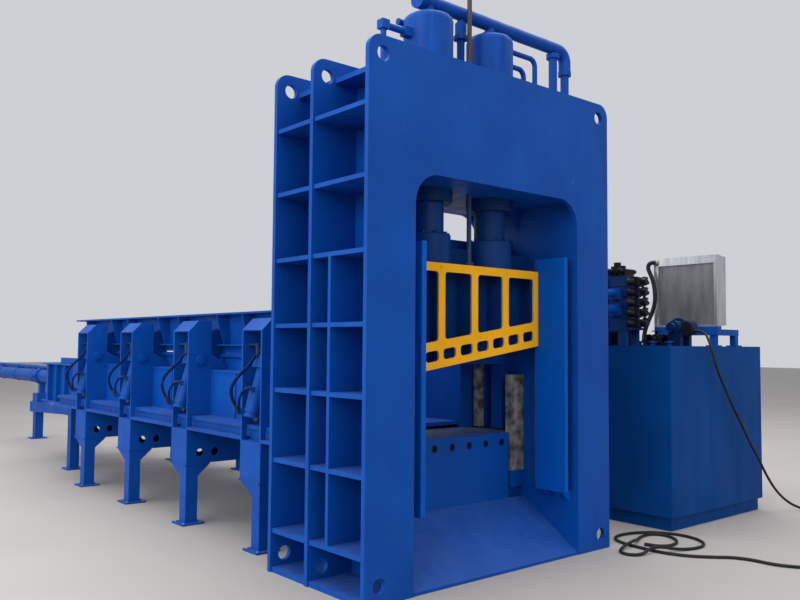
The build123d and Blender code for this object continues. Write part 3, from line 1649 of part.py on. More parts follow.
with BuildPart() as cooler_fan:
    hub_start = motor_x - 62
    with BuildSketch(Plane.YZ.offset(hub_start)):
        with Locations((core_mid_y, core_mid_z)):
            Circle(60)
    extrude(amount=40)
    with BuildSketch(Plane.YZ.offset(hub_start + 40)):
        with Locations((core_mid_y, core_mid_z)):
            Circle(14)
    extrude(amount=50)
    blade_count = 7
    for i in range(blade_count):
        with Locations(Location((hub_start + 20, core_mid_y, core_mid_z), (360 / blade_count * i, 0, 0))):
            with Locations(Location((0, 0, 165), (0, 0, 38))):
                Box(5, 86, 236)
save(cooler_fan, "cooler_fan")

# Pumps with their motors: two main sets across the tank and the small circulation set at the front
with BuildPart() as motor_pumps:
    for y in (1020, 1480):
        axis_z = tank_top + 300
        for start, length, radius in (
            (425, 80, 60),
            (505, 260, 105),
            (765, 60, 165),
            (825, 110, 130),
            (935, 40, 205),
            (975, 480, 195),
            (1455, 70, 170),
        ):
            with BuildSketch(Plane.YZ.offset(tank_left + start)):
                with Locations((y, axis_z)):
                    Circle(radius)
            extrude(amount=length)
        fin_count = 24
        with BuildSketch(Plane.YZ.offset(tank_left + 995)):
            with Locations((y, axis_z)):
                with PolarLocations(202, fin_count):
                    Rectangle(24, 6)
        extrude(amount=440)
        for x in (tank_left + 805, tank_left + 1065, tank_left + 1365):
            with BuildSketch(Plane.XY.offset(tank_top)):
                with Locations((x, y)):
                    Rectangle(60, 300)
            extrude(amount=axis_z - 150 - tank_top)
    axis_z = 1790
    for start, length, radius in ((545, 60, 40), (605, 90, 62), (695, 20, 90), (715, 190, 78), (905, 36, 70)):
        with BuildSketch(Plane.YZ.offset(tank_left + start)):
            with Locations((-254, axis_z)):
                Circle(radius)
        extrude(amount=length)
    for x in (tank_left + 650, tank_left + 805):
        with BuildSketch(Plane.XY.offset(tank_top)):
            with Locations((x, -254)):
                Rectangle(50, 130)
        extrude(amount=axis_z - 50 - tank_top)
    with Locations((cable_route[0][0], -345, cable_route[0][2])):
        Box(70, 40, 60)
    with BuildSketch(Plane.XZ.offset(365)):
        with Locations((cable_route[0][0], cable_route[0][2])):
            Circle(cable_radius + 6)
    extrude(amount=20)
save(motor_pumps, "motor_pumps")

# Supply cable: from the small motor's terminal box over the tank's edge to the floor and in loops to the column
turn_radii = []
for before, here, after in zip(cable_route, cable_route[1:], cable_route[2:]):
    run_in = Vector(*here) - Vector(*before)
    run_out = Vector(*after) - Vector(*here)
    half_turn = radians(run_in.get_angle(run_out) / 2)
    turn_radii.append(0.45 * min(run_in.length, run_out.length) / tan(half_turn))
print("supply cable bend radii, mm:", [round(value) for value in turn_radii])
with BuildPart() as supply_cable:
    with BuildLine() as route:
        FilletPolyline(*cable_route, radius=turn_radii)
    with BuildSketch(Plane(origin=cable_route[0], z_dir=(0, -1, 0))):
        Circle(cable_radius)
    sweep(path=route.wires()[0])
cable_length = route.wires()[0].length
print("supply cable length, mm:", round(cable_length))
print("supply cable volume against its section and length:", round(supply_cable.part.volume / cable_length, 1))
save(supply_cable, "supply_cable")
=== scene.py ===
import math

import bmesh
import bpy
from mathutils import Matrix, Vector


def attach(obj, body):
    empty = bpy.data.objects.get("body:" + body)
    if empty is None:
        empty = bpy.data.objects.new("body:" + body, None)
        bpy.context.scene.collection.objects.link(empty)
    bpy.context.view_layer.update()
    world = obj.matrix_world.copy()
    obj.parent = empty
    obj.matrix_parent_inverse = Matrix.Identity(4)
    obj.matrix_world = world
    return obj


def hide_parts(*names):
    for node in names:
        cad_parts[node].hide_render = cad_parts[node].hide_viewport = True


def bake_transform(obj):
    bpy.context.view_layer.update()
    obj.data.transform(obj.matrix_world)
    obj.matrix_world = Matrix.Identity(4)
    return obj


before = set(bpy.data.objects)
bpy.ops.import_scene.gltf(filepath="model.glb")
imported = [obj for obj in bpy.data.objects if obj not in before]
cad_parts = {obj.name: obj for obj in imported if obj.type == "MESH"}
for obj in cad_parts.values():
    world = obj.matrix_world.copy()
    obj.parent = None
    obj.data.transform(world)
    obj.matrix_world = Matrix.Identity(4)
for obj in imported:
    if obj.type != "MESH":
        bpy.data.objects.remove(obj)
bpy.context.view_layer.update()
scene = bpy.context.scene
scene.view_settings.view_transform = "Standard"

# Camera: place, direction and field of view read from the photograph's perspective
CAMERA_PLACE = Vector((-4.356, -4.527, 1.600))
CAMERA_FORWARD = Vector((0.64707, 0.76046, 0.05479)).normalized()
CAMERA_RIGHT = Vector((0.76131, -0.64835, 0.00761)).normalized()
LENS_MM = 36.91
SENSOR_MM = 36
FARTHEST_SEEN = 200

camera_data = bpy.data.cameras.new("camera")
camera_data.lens = LENS_MM
camera_data.sensor_width = SENSOR_MM
camera_data.clip_end = FARTHEST_SEEN
camera = bpy.data.objects.new("camera", camera_data)
camera_up = CAMERA_RIGHT.cross(CAMERA_FORWARD)
camera_axes = Matrix((CAMERA_RIGHT, camera_up, -CAMERA_FORWARD)).transposed()
camera.matrix_world = Matrix.Translation(CAMERA_PLACE) @ camera_axes.to_4x4()
scene.collection.objects.link(camera)
scene.camera = camera

# Materials
DUST = (0.42, 0.44, 0.47)
WORN_STEEL = (0.062, 0.068, 0.082)


def grey(level):
    return (level, level, level)


def scaled(colour, factor, lift=0.0):
    """A colour made darker or lighter, with a little grey added."""
    return tuple(min(1.0, part * factor + lift) for part in colour)


class Look:
    """A new material and the nodes it is built from; a share or a colour is an output or a plain value."""

    def __init__(self, name):
        self.material = bpy.data.materials.new(name)
        self.material.use_nodes = True
        self.nodes = self.material.node_tree.nodes
        self.links = self.material.node_tree.links
        self.shader = self.nodes["Principled BSDF"]

    def put(self, value, socket):
        """Link an output to an input, or set the input to a plain value."""
        if hasattr(value, "is_linked"):
            self.links.new(value, socket)
        else:
            socket.default_value = value

    def finish(self, name, value):
        """Give the shader's input of that name its value."""
        self.put(value, self.shader.inputs[name])

    def place(self, stretch=None):
        """The object's own coordinates, stretched along an axis if asked."""
        own = self.nodes.new("ShaderNodeTexCoord").outputs["Object"]
        if stretch is None:
            return own
        mapping = self.nodes.new("ShaderNodeMapping")
        mapping.inputs["Scale"].default_value = stretch
        self.links.new(own, mapping.inputs["Vector"])
        return mapping.outputs["Vector"]

    def noise(self, scale, detail, stretch=None):
        texture = self.nodes.new("ShaderNodeTexNoise")
        texture.inputs["Scale"].default_value = scale
        texture.inputs["Detail"].default_value = detail
        self.links.new(self.place(stretch), texture.inputs["Vector"])
        return texture.outputs["Fac"]

    def ramp(self, source, *stops):
        """Colours laid over a factor, as (place, colour) stops."""
        node = self.nodes.new("ShaderNodeValToRGB")
        for element, (place, colour) in zip(node.color_ramp.elements, stops):
            element.position = place
            element.color = (*colour, 1)
        self.links.new(source, node.inputs["Fac"])
        return node.outputs["Color"]

    def spread(self, source, low=0.0, high=1.0, lowest=0.0, highest=1.0):
        """A value between low and high, brought to between lowest and highest."""
        node = self.nodes.new("ShaderNodeMapRange")
        node.inputs["From Min"].default_value = low
        node.inputs["From Max"].default_value = high
        node.inputs["To Min"].default_value = lowest
        node.inputs["To Max"].default_value = highest
        self.links.new(source, node.inputs["Value"])
        return node.outputs["Result"]

    def upright(self, vector):
        """The Z part of a vector."""
        split = self.nodes.new("ShaderNodeSeparateXYZ")
        self.links.new(vector, split.inputs["Vector"])
        return split.outputs["Z"]

    def over(self, level, fade=0.01):
        """0 below a height in the row frame and 1 above it."""
        return self.spread(self.upright(self.place()), level - fade, level + fade)

    def facing_up(self, low, high, most):
        """Most on faces that look up, 0 on upright ones."""
        normal = self.nodes.new("ShaderNodeNewGeometry").outputs["Normal"]
        return self.spread(self.upright(normal), low, high, 0.0, most)

    def times(self, first, second):
        node = self.nodes.new("ShaderNodeMath")
        node.operation = "MULTIPLY"
        self.put(first, node.inputs[0])
        self.put(second, node.inputs[1])
        return node.outputs["Value"]

    def mixed(self, share, first, second, kind="RGBA"):
        """Second in place of first by share."""
        node = self.nodes.new("ShaderNodeMix")
        node.data_type = kind
        self.put(share, node.inputs["Factor"])
        sides = [socket for socket in node.inputs if socket.name in ("A", "B") and socket.enabled]
        for socket, value in zip(sides, (first, second)):
            self.put((*value, 1) if isinstance(value, tuple) else value, socket)
        return next(socket for socket in node.outputs if socket.enabled)

    def bump(self, height, strength, distance=None):
        """Lumps in the surface; without a distance the node keeps its own."""
        node = self.nodes.new("ShaderNodeBump")
        node.inputs["Strength"].default_value = strength
        if distance is not None:
            node.inputs["Distance"].default_value = distance
        self.links.new(height, node.inputs["Height"])
        self.finish("Normal", node.outputs["Normal"])


def paint(name, colour, dark, roughness=0.45, dust=0.12, worn=0.0, above=None, shine=0.12):
    """Sprayed paint: cloudy colour, runs, orange-peel bump, scuffed gloss, and dust on faces that look up.

    worn bares the steel of faces that look up; above is (height, colour, metallic, roughness) for what
    is finished otherwise over a height.
    """
    look = Look(name)
    surface = look.ramp(look.noise(1.7, 6), (0.35, dark), (0.65, colour))
    streaks = look.noise(3.0, 5, stretch=(3.0, 3.0, 0.35))
    streak_share = look.ramp(streaks, (0.5, grey(0)), (0.9, grey(0.2)))
    surface = look.mixed(streak_share, surface, scaled(dark, 0.62))
    dusty = look.times(look.facing_up(0.6, 1.0, dust), look.noise(9, 8))
    surface = look.mixed(dusty, surface, DUST)
    scuffs = look.noise(26, 9, stretch=(1.0, 1.0, 0.3))
    scuff_share = look.ramp(scuffs, (0.70, grey(0)), (0.78, grey(0.35)))
    surface = look.mixed(scuff_share, surface, scaled(colour, 1.5, 0.03))
    gloss = look.spread(streaks, 0.3, 0.7, roughness - 0.08, roughness + 0.12)
    if worn:
        rubbed = look.noise(12, 8, stretch=(0.5, 3.0, 1.0))
        rub_share = look.ramp(rubbed, (0.35, grey(0.6)), (0.6, grey(1)))
        bare = look.times(look.facing_up(0.9, 0.98, worn), rub_share)
        surface = look.mixed(bare, surface, WORN_STEEL)
    if above:
        level, top_colour, top_metal, top_roughness = above
        share = look.over(level)
        grain = look.noise(30, 6, stretch=(1.0, 1.0, 0.1))
        tone = look.ramp(grain, (0.35, scaled(top_colour, 0.72)), (0.65, top_colour))
        surface = look.mixed(share, surface, tone)
        gloss = look.mixed(share, gloss, top_roughness, "FLOAT")
        look.finish("Metallic", look.times(share, top_metal))
    look.finish("Base Color", surface)
    look.finish("Roughness", gloss)
    look.finish("Specular IOR Level", shine)
    look.bump(look.noise(160, 3), 0.06, 0.002)
    return look.material


def steel(name, colour, dark, roughness=0.35, metal=1.0, grain=(1.0, 1.0, 1.0), scale=40.0, blotches=6):
    """Bare or machined metal with grain along an axis and blotches of oxide."""
    look = Look(name)
    look.finish("Base Color", look.ramp(look.noise(blotches, 8), (0.38, dark), (0.62, colour)))
    fine = look.noise(scale, 4, stretch=grain)
    look.finish("Roughness", look.spread(fine, 0.0, 1.0, roughness * 0.7, roughness * 1.4))
    look.finish("Metallic", metal)
    look.bump(fine, 0.12, 0.001)
    return look.material


def rubber(name, colour, roughness=0.55, shine=0.2):
    """Rubber or moulded plastic with paler patches of dirt."""
    look = Look(name)
    dirty = scaled(colour, 1.8, 0.006)
    look.finish("Base Color", look.ramp(look.noise(14, 5), (0.5, colour), (0.8, dirty)))
    look.finish("Roughness", roughness)
    look.finish("Specular IOR Level", shine)
    return look.material


def fins(name):
    """Cooler core: rows of fins with a thin layer of dust and a few darker patches."""
    look = Look(name)
    wave = look.nodes.new("ShaderNodeTexWave")
    wave.bands_direction = "Y"
    wave.inputs["Scale"].default_value = 30
    wave.inputs["Distortion"].default_value = 0.4
    look.links.new(look.place(), wave.inputs["Vector"])
    patches = look.noise(3, 8, stretch=(1.0, 2.5, 0.6))
    colours = look.ramp(patches, (0.3, (0.13, 0.135, 0.14)), (0.75, (0.28, 0.285, 0.3)))
    look.finish("Base Color", colours)
    look.finish("Metallic", 0.75)
    look.finish("Roughness", 0.5)
    look.bump(wave.outputs["Fac"], 0.6, 0.004)
    return look.material


def concrete(name):
    """Cloudy floor with fine grit."""
    look = Look(name)
    clouds = look.noise(0.55, 9)
    colours = look.ramp(clouds, (0.3, (0.365, 0.342, 0.32)), (0.7, (0.395, 0.372, 0.35)))
    look.finish("Base Color", colours)
    look.finish("Roughness", 0.75)
    look.bump(look.noise(60, 5), 0.08)
    return look.material


BLUE_COLOUR = (0.002, 0.066, 0.345)
BLUE_DARK = (0.001, 0.053, 0.285)
# Height under which the main barrels are darker blue: painted shade, with some oil grime
BARREL_SHADE_GRIME_TOP = 3.3
COOLER_TANKS_FROM = 1.812
BARE_ROD_FROM = 3.45
PLAIN_BLUE_TOP = (BARREL_SHADE_GRIME_TOP, BLUE_COLOUR, 0.0, 0.45)
ALLOY_TOP = (COOLER_TANKS_FROM, (0.56, 0.57, 0.59), 0.85, 0.42)
RUSTED_TOP = (BARE_ROD_FROM, (0.085, 0.062, 0.050), 0.55, 0.45)

BLUE = paint("shear_blue", BLUE_COLOUR, BLUE_DARK)
TABLE_BLUE = paint("table_blue", BLUE_COLOUR, BLUE_DARK, worn=0.9)
TANK_BLUE = paint("tank_blue", (0.001, 0.052, 0.235), (0.001, 0.042, 0.190), shine=0.05)
PUMP_BLUE = paint("pump_blue", (0.004, 0.030, 0.150), (0.003, 0.018, 0.08))
YELLOW = paint("ram_yellow", (0.88, 0.43, 0.010), (0.78, 0.36, 0.008), roughness=0.42, dust=0.1)
DARK_PAINT = paint("valve_paint", (0.012, 0.015, 0.021), (0.007, 0.009, 0.013), roughness=0.5, dust=0.3)
FITTING_BLUE = paint("fitting_blue", (0.02, 0.05, 0.14), (0.008, 0.014, 0.03), roughness=0.4, dust=0.2)
# Darker copy of the frame blue on the ram, its rods and clamps: painted shade of the shear's mouth
RAM_SHADED_BLUE = paint("ram_blue_painted_shade", (0.002, 0.038, 0.180), (0.001, 0.028, 0.140), dust=0.05)
# Lighter copy of the frame blue on the guides: painted light on their faces
GUIDE_LIT_BLUE = paint("guide_blue_painted_light", (0.001, 0.088, 0.450), (0.001, 0.072, 0.380), shine=0.08)
# Main barrels darker blue under that height: painted shade, with some oil grime; plain blue above it
BARREL_SHADE_GRIME_BLUE = paint("barrel_painted_shade_grime", (0.002, 0.026, 0.125), (0.001, 0.020, 0.095), above=PLAIN_BLUE_TOP)
# Near-black blue on the blade bolts: painted shade, so they read as dark holes
BOLT_SHADED_BLUE = paint("bolt_blue_painted_shade", (0.003, 0.014, 0.055), (0.002, 0.008, 0.03), roughness=0.5)
MANIFOLD_BLUE = paint("manifold_blue", (0.005, 0.045, 0.21), (0.003, 0.022, 0.11), roughness=0.4)
COOLER_PAINT = paint("cooler_frame", BLUE_COLOUR, BLUE_DARK, above=ALLOY_TOP)
ROD_PAINT = paint("travel_rod", (0.03, 0.06, 0.16), (0.02, 0.035, 0.10), above=RUSTED_TOP)
CHROME = steel("bright_rod", (0.72, 0.73, 0.75), (0.62, 0.63, 0.66), roughness=0.16)
BLADE = steel("blade_steel", (0.34, 0.34, 0.35), (0.24, 0.24, 0.25), roughness=0.42, grain=(0.2, 4.0, 4.0))
LINER_STEEL = steel(
    "liner_steel",
    (0.36, 0.355, 0.33),
    (0.075, 0.07, 0.06),
    roughness=0.55,
    metal=0.35,
    grain=(1.0, 1.0, 0.5),
    scale=60.0,
    blotches=11,
)
BLACK_STEEL = steel("black_steel", (0.05, 0.05, 0.055), (0.025, 0.025, 0.03), roughness=0.5, metal=0.8)
BRONZE = steel("bronze_liner", (0.50, 0.33, 0.14), (0.38, 0.24, 0.10), roughness=0.4)
ZINC = steel("zinc_fitting", (0.55, 0.54, 0.50), (0.38, 0.37, 0.33), roughness=0.35)
FINS = fins("cooler_fins")
BLACK_RUBBER = rubber("black_rubber", (0.012, 0.012, 0.013))
HOSE_RUBBER = rubber("hose_rubber", (0.009, 0.011, 0.017), roughness=0.45)
FLAP_HOSE = rubber("flap_hose", (0.002, 0.014, 0.070), roughness=0.6, shine=0.06)
FAN_PLASTIC = rubber("fan_plastic", (0.02, 0.02, 0.022), roughness=0.5)
CONCRETE = concrete("floor_concrete")

# Nodes of the frame that aren't the plain blue
FINISHES = [
    (BARREL_SHADE_GRIME_BLUE, ("left_main_cylinder", "right_main_cylinder")),
    (BLADE, ("upper_blade",)),
    (BOLT_SHADED_BLUE, ("blade_bolts",)),
    (BRONZE, ("left_liner", "right_liner")),
    (CHROME, ("feed_rod", "flap_rods", "press_rod")),
    (COOLER_PAINT, ("cooler_frame",)),
    (DARK_PAINT, ("pilot_valves",)),
    (FAN_PLASTIC, ("cooler_fan",)),
    (FINS, ("cooler_core",)),
    (GUIDE_LIT_BLUE, ("left_guide", "right_guide")),
    (LINER_STEEL, ("press_liners",)),
    (MANIFOLD_BLUE, ("manifold",)),
    (PUMP_BLUE, ("motor_pumps",)),
    (RAM_SHADED_BLUE, ("ram_body", "left_main_rod", "right_main_rod", "left_rod_clamp", "right_rod_clamp")),
    (ROD_PAINT, ("travel_rod",)),
    (TABLE_BLUE, ("anvil", "lower_blade", "rear_table")),
    (TANK_BLUE, ("tank",)),
    (YELLOW, ("ram_front_frame",)),
]
by_node = {name: material for material, names in FINISHES for name in names}
for name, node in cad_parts.items():
    node.data.materials.clear()
    node.data.materials.append(by_node.get(name, BLUE))


# Small parts that dress the frame
EDGE = 0.0015


def dress(name, built, material, body, bevel=EDGE):
    """Turn a bmesh into a piece with softened edges that rides on a body."""
    mesh = bpy.data.meshes.new(name)
    built.to_mesh(mesh)
    built.free()
    mesh.materials.append(material)
    piece = bpy.data.objects.new(name, mesh)
    scene.collection.objects.link(piece)
    if bevel:
        softened = piece.modifiers.new("edges", "BEVEL")
        softened.width = bevel
        softened.segments = 2
        softened.limit_method = "ANGLE"
    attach(piece, body)
    return piece


def block(built, middle, size):
    """Box of a size about its middle."""
    matrix = Matrix.Translation(middle) @ Matrix.Diagonal((*size, 1))
    bmesh.ops.create_cube(built, size=1, matrix=matrix)


def turned(built, start, end, stages, sides=24):
    """Round or many-sided stages between two points, as (share of the way, radius) pairs."""
    start = Vector(start)
    axis = Vector(end) - start
    turn = axis.to_track_quat("Z", "Y").to_matrix()
    rings = []
    for share, radius in stages:
        middle = start + axis * share
        ring = []
        for i in range(sides):
            angle = 2 * math.pi * i / sides
            spoke = turn @ Vector((math.cos(angle) * radius, math.sin(angle) * radius, 0))
            ring.append(built.verts.new(middle + spoke))
        rings.append(ring)
    for low, high in zip(rings, rings[1:]):
        for i in range(sides):
            j = (i + 1) % sides
            built.faces.new((low[i], low[j], high[j], high[i]))
    built.faces.new(list(reversed(rings[0])))
    built.faces.new(rings[-1])


def cylinder(built, start, end, radius, sides=24):
    turned(built, start, end, [(0, radius), (1, radius)], sides)


def hex_bolt(built, place, direction, radius):
    """Hexagon head on a washer of that radius, standing off a face along a direction."""
    place = Vector(place)
    direction = Vector(direction).normalized()
    washer = place + direction * radius * 0.16
    head = washer + direction * radius * 0.62
    cylinder(built, place, washer, radius, 20)
    turned(built, washer, head, [(0, radius * 0.86), (0.85, radius * 0.86), (1, radius * 0.74)], 6)


HOSE_STEPS = 8
CABLE_STEPS = 10


def tube(name, points, radius, steps):
    """Curve data of a round line that runs smoothly along given points."""
    curve = bpy.data.curves.new(name, "CURVE")
    curve.dimensions = "3D"
    curve.resolution_u = steps
    curve.bevel_depth = radius
    curve.bevel_resolution = 4
    curve.use_fill_caps = True
    spline = curve.splines.new("NURBS")
    spline.points.add(len(points) - 1)
    for control, point in zip(spline.points, points):
        control.co = (*point, 1)
    spline.order_u = 3
    spline.use_endpoint_u = True
    return curve


def hose(name, points, radius, material, body, bend_to=None):
    """Hose along given points, riding on a body, or with bend_to left fixed in place on no body."""
    line = bpy.data.objects.new(name + "_line", tube(name, points, radius, HOSE_STEPS))
    scene.collection.objects.link(line)
    bpy.context.view_layer.update()
    shaped = line.evaluated_get(bpy.context.evaluated_depsgraph_get())
    mesh = bpy.data.meshes.new_from_object(shaped)
    mesh.materials.clear()
    mesh.materials.append(material)
    for face in mesh.polygons:
        face.use_smooth = True
    bpy.data.objects.remove(line)
    piece = bpy.data.objects.new(name, mesh)
    scene.collection.objects.link(piece)
    if bend_to:
        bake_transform(piece)
    else:
        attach(piece, body)


def hose_end(built, place, out, along, radius):
    """Union nut standing out of a port, and the crimped sleeve that the hose leaves it by."""
    place = Vector(place)
    out = Vector(out).normalized()
    along = Vector(along).normalized()
    nut = place + out * radius * 2.4
    turned(built, place, nut, [(0, radius * 1.75), (0.9, radius * 1.75), (1, radius * 1.55)], 6)
    start = nut - out * radius * 0.8
    sleeve = start + along * radius * 4.4
    crimps = [(0, radius * 1.2), (0.2, radius * 1.4), (0.9, radius * 1.4), (1, radius * 1.15)]
    turned(built, start, sleeve, crimps, 20)


def moved(points, step):
    """Points moved by a step along X, Y and Z."""
    return [tuple(part + more for part, more in zip(point, step)) for point in points]


# Flap cylinders: one hose from each post to its barrel, two along the barrel, their ends, and bands
# round the barrel. Points are for a post at Y 0.
FIRST_ROW = 1.016
ROW_PITCH = 1.257
ROWS = [FIRST_ROW + ROW_PITCH * i for i in range(4)]
TRUNNION = (-0.925, 0.155, 1.450)
BARREL_AXIS = Vector((0.2559, 0, 0.9667))
BAND_PLACES = (-0.235, -0.405)
BAND_WIDTH = 0.016
BAND_STAGES = [(0, 0.0675), (0.15, 0.0695), (0.85, 0.0695), (1, 0.0675)]
FEED_HOSE_RADIUS = 0.0135
RETURN_HOSE_RADIUS = 0.010
SIDE_LINE_RADIUS = 0.008
FEED_HOSE = [
    (-0.975, 0.164, 1.560),
    (-0.984, 0.164, 1.528),
    (-1.020, 0.166, 1.480),
    (-1.060, 0.168, 1.425),
    (-1.104, 0.172, 1.384),
    (-1.152, 0.176, 1.340),
    (-1.192, 0.180, 1.285),
    (-1.204, 0.184, 1.230),
    (-1.188, 0.187, 1.172),
    (-1.158, 0.189, 1.118),
    (-1.138, 0.189, 1.078),
]
RETURN_HOSE = [
    (-1.072, 0.125, 1.254),
    (-1.098, 0.128, 1.250),
    (-1.128, 0.136, 1.226),
    (-1.140, 0.152, 1.190),
    (-1.140, 0.168, 1.150),
    (-1.132, 0.180, 1.118),
    (-1.122, 0.188, 1.090),
]
SIDE_LINE = [
    (-0.988, 0.070, 1.232),
    (-0.976, 0.058, 1.198),
    (-0.970, 0.052, 1.158),
    (-0.978, 0.050, 1.118),
    (-0.998, 0.050, 1.080),
    (-1.020, 0.052, 1.044),
    (-1.033, 0.056, 1.010),
    (-1.038, 0.070, 0.992),
    (-1.038, 0.088, 0.996),
]
# Hose ends on the barrel: place, way out of the port, way along the hose, radius
BARREL_ENDS = [
    ((-1.112, 0.189, 1.066), (-0.97, 0, 0.24), (-0.42, -0.02, 0.9), 0.013),
    ((-1.116, 0.189, 1.072), (-0.3, 0, 0.1), (-0.2, -0.2, 0.9), 0.010),
    ((-1.050, 0.125, 1.250), (-0.97, 0, 0.16), (-0.99, 0.1, -0.05), 0.010),
    ((-0.990, 0.088, 1.240), (0, -1, 0), (0.12, -0.2, -0.9), 0.008),
    ((-1.036, 0.096, 1.026), (0, 0, -1), (0, -0.95, -0.1), 0.010),
]

for number, row in enumerate(ROWS, 1):
    step = (0, row, 0)
    feed = moved(FEED_HOSE, step)
    hose(f"flap_feed_hose_{number}", feed, FEED_HOSE_RADIUS, FLAP_HOSE, "gantry", "flap_barrels")
    back = moved(RETURN_HOSE, step)
    hose(f"flap_return_hose_{number}", back, RETURN_HOSE_RADIUS, FLAP_HOSE, "flap_barrels")
    side = moved(SIDE_LINE, step)
    hose(f"flap_side_line_{number}", side, SIDE_LINE_RADIUS, FLAP_HOSE, "flap_barrels")
    ends = bmesh.new()
    for (x, y, z), out, along, radius in BARREL_ENDS:
        hose_end(ends, (x, y + row, z), out, along, radius)
    dress(f"flap_hose_ends_{number}", ends, FITTING_BLUE, "flap_barrels")
    top_end = bmesh.new()
    block(top_end, (-0.972, row + 0.228, 1.594), (0.050, 0.128, 0.012))
    block(top_end, (-0.972, row + 0.164, 1.585), (0.040, 0.040, 0.040))
    hose_end(top_end, (-0.972, row + 0.164, 1.572), (-0.1, 0, -1), (-0.3, 0, -1), 0.013)
    dress(f"flap_post_union_{number}", top_end, FITTING_BLUE, "gantry")
    bands = bmesh.new()
    trunnion = Vector((TRUNNION[0], row + TRUNNION[1], TRUNNION[2]))
    for along in BAND_PLACES:
        start = trunnion + BARREL_AXIS * along
        turned(bands, start, start + BARREL_AXIS * BAND_WIDTH, BAND_STAGES, 40)
    dress(f"flap_barrel_bands_{number}", bands, BLUE, "flap_barrels", bevel=0)

# Power unit: solenoids with their plugs, cap screws and covers on the five slices of the valve stack
SLICES = 5
SLICE_PITCH = 0.098
FIRST_SLICE = 1.780
HALF_SLICE = 0.042
STACK_X = 2.355
SOLENOID_Y = -0.100
VALVE_FRONT = -0.144
SOLENOID_STAGES = [(0, 0.020), (0.1, 0.026), (0.72, 0.026), (0.74, 0.019), (0.94, 0.019), (1, 0.014)]
PLUG_STAGES = [(0, 0.011), (0.5, 0.011), (0.55, 0.008), (1, 0.008)]
FRONT_SCREW_STAGES = [(0, 0.0085), (0.8, 0.0085), (1, 0.007)]
COVER_SCREW_STAGES = [(0, 0.008), (0.8, 0.008), (1, 0.0065)]

for i in range(SLICES):
    middle = FIRST_SLICE + i * SLICE_PITCH + HALF_SLICE
    solenoids = bmesh.new()
    for side in (-1, 1):
        x = STACK_X + side * 0.075
        start, end = (x, SOLENOID_Y, middle), (x + side * 0.10, SOLENOID_Y, middle)
        turned(solenoids, start, end, SOLENOID_STAGES)
        plug_x = x + side * 0.042
        block(solenoids, (plug_x, SOLENOID_Y, middle + 0.038), (0.042, 0.030, 0.030))
        start, end = (plug_x, -0.116, middle + 0.040), (plug_x, -0.136, middle + 0.040)
        turned(solenoids, start, end, PLUG_STAGES, 16)
    dress(f"valve_solenoids_{i + 1}", solenoids, BLACK_STEEL, "gantry", bevel=0.002)
    screws = bmesh.new()
    for x in (2.300, 2.410):
        for z in (-0.026, 0.026):
            start, end = (x, VALVE_FRONT, middle + z), (x, VALVE_FRONT - 0.009, middle + z)
            turned(screws, start, end, FRONT_SCREW_STAGES, 16)
    dress(f"valve_screws_{i + 1}", screws, BLACK_STEEL, "gantry", bevel=0)
    covers = bmesh.new()
    for y in (0.200, 0.340, 0.470):
        block(covers, (2.236, y, middle), (0.018, 0.100, 0.070))
        for dy in (-0.036, 0.036):
            for dz in (-0.024, 0.024):
                start, end = (2.227, y + dy, middle + dz), (2.217, y + dy, middle + dz)
                turned(covers, start, end, COVER_SCREW_STAGES, 14)
    dress(f"valve_covers_{i + 1}", covers, DARK_PAINT, "gantry")

# Row of small valves on top of the stack
TOP_SOLENOID_STAGES = [(0, 0.024), (0.7, 0.024), (0.72, 0.016), (1, 0.015)]
top_valves = bmesh.new()
for y in (0.02, 0.13, 0.24, 0.35):
    block(top_valves, (2.345, y, 2.303), (0.15, 0.075, 0.068))
    turned(top_valves, (2.275, y, 2.315), (2.195, y, 2.322), TOP_SOLENOID_STAGES, 20)
    turned(top_valves, (2.420, y, 2.315), (2.500, y, 2.322), TOP_SOLENOID_STAGES, 20)
    block(top_valves, (2.300, y, 2.352), (0.040, 0.032, 0.034))
dress("valve_top_row", top_valves, DARK_PAINT, "gantry", bevel=0.002)

# Pumps' suction side: a pipe with three flanges, a stem and a hand wheel each, and risers from the tank
SUCTION_Z = 1.668
STEM_STAGES = [(0, 0.024), (0.6, 0.024), (0.62, 0.011), (1, 0.011)]
suction = bmesh.new()
for y in (-0.130, 0.050):
    cylinder(suction, (2.760, y, SUCTION_Z), (3.000, y, SUCTION_Z), 0.034)
    for x in (2.760, 2.860, 2.985):
        cylinder(suction, (x, y, SUCTION_Z), (x + 0.018, y, SUCTION_Z), 0.058, 28)
    turned(suction, (2.905, y, SUCTION_Z), (2.905, y, SUCTION_Z + 0.085), STEM_STAGES, 20)
    cylinder(suction, (2.905, y, SUCTION_Z + 0.085), (2.905, y, SUCTION_Z + 0.095), 0.048, 28)
dress("suction_valves", suction, DARK_PAINT, "gantry")
risers = bmesh.new()
for x, y in ((2.700, -0.215), (2.690, -0.040), (2.700, 0.120)):
    cylinder(risers, (x, y, 1.530), (x, y, 1.640), 0.026)
    cylinder(risers, (x, y, 1.640), (x, y, 1.658), 0.046)
dress("suction_risers", risers, BLUE, "gantry")

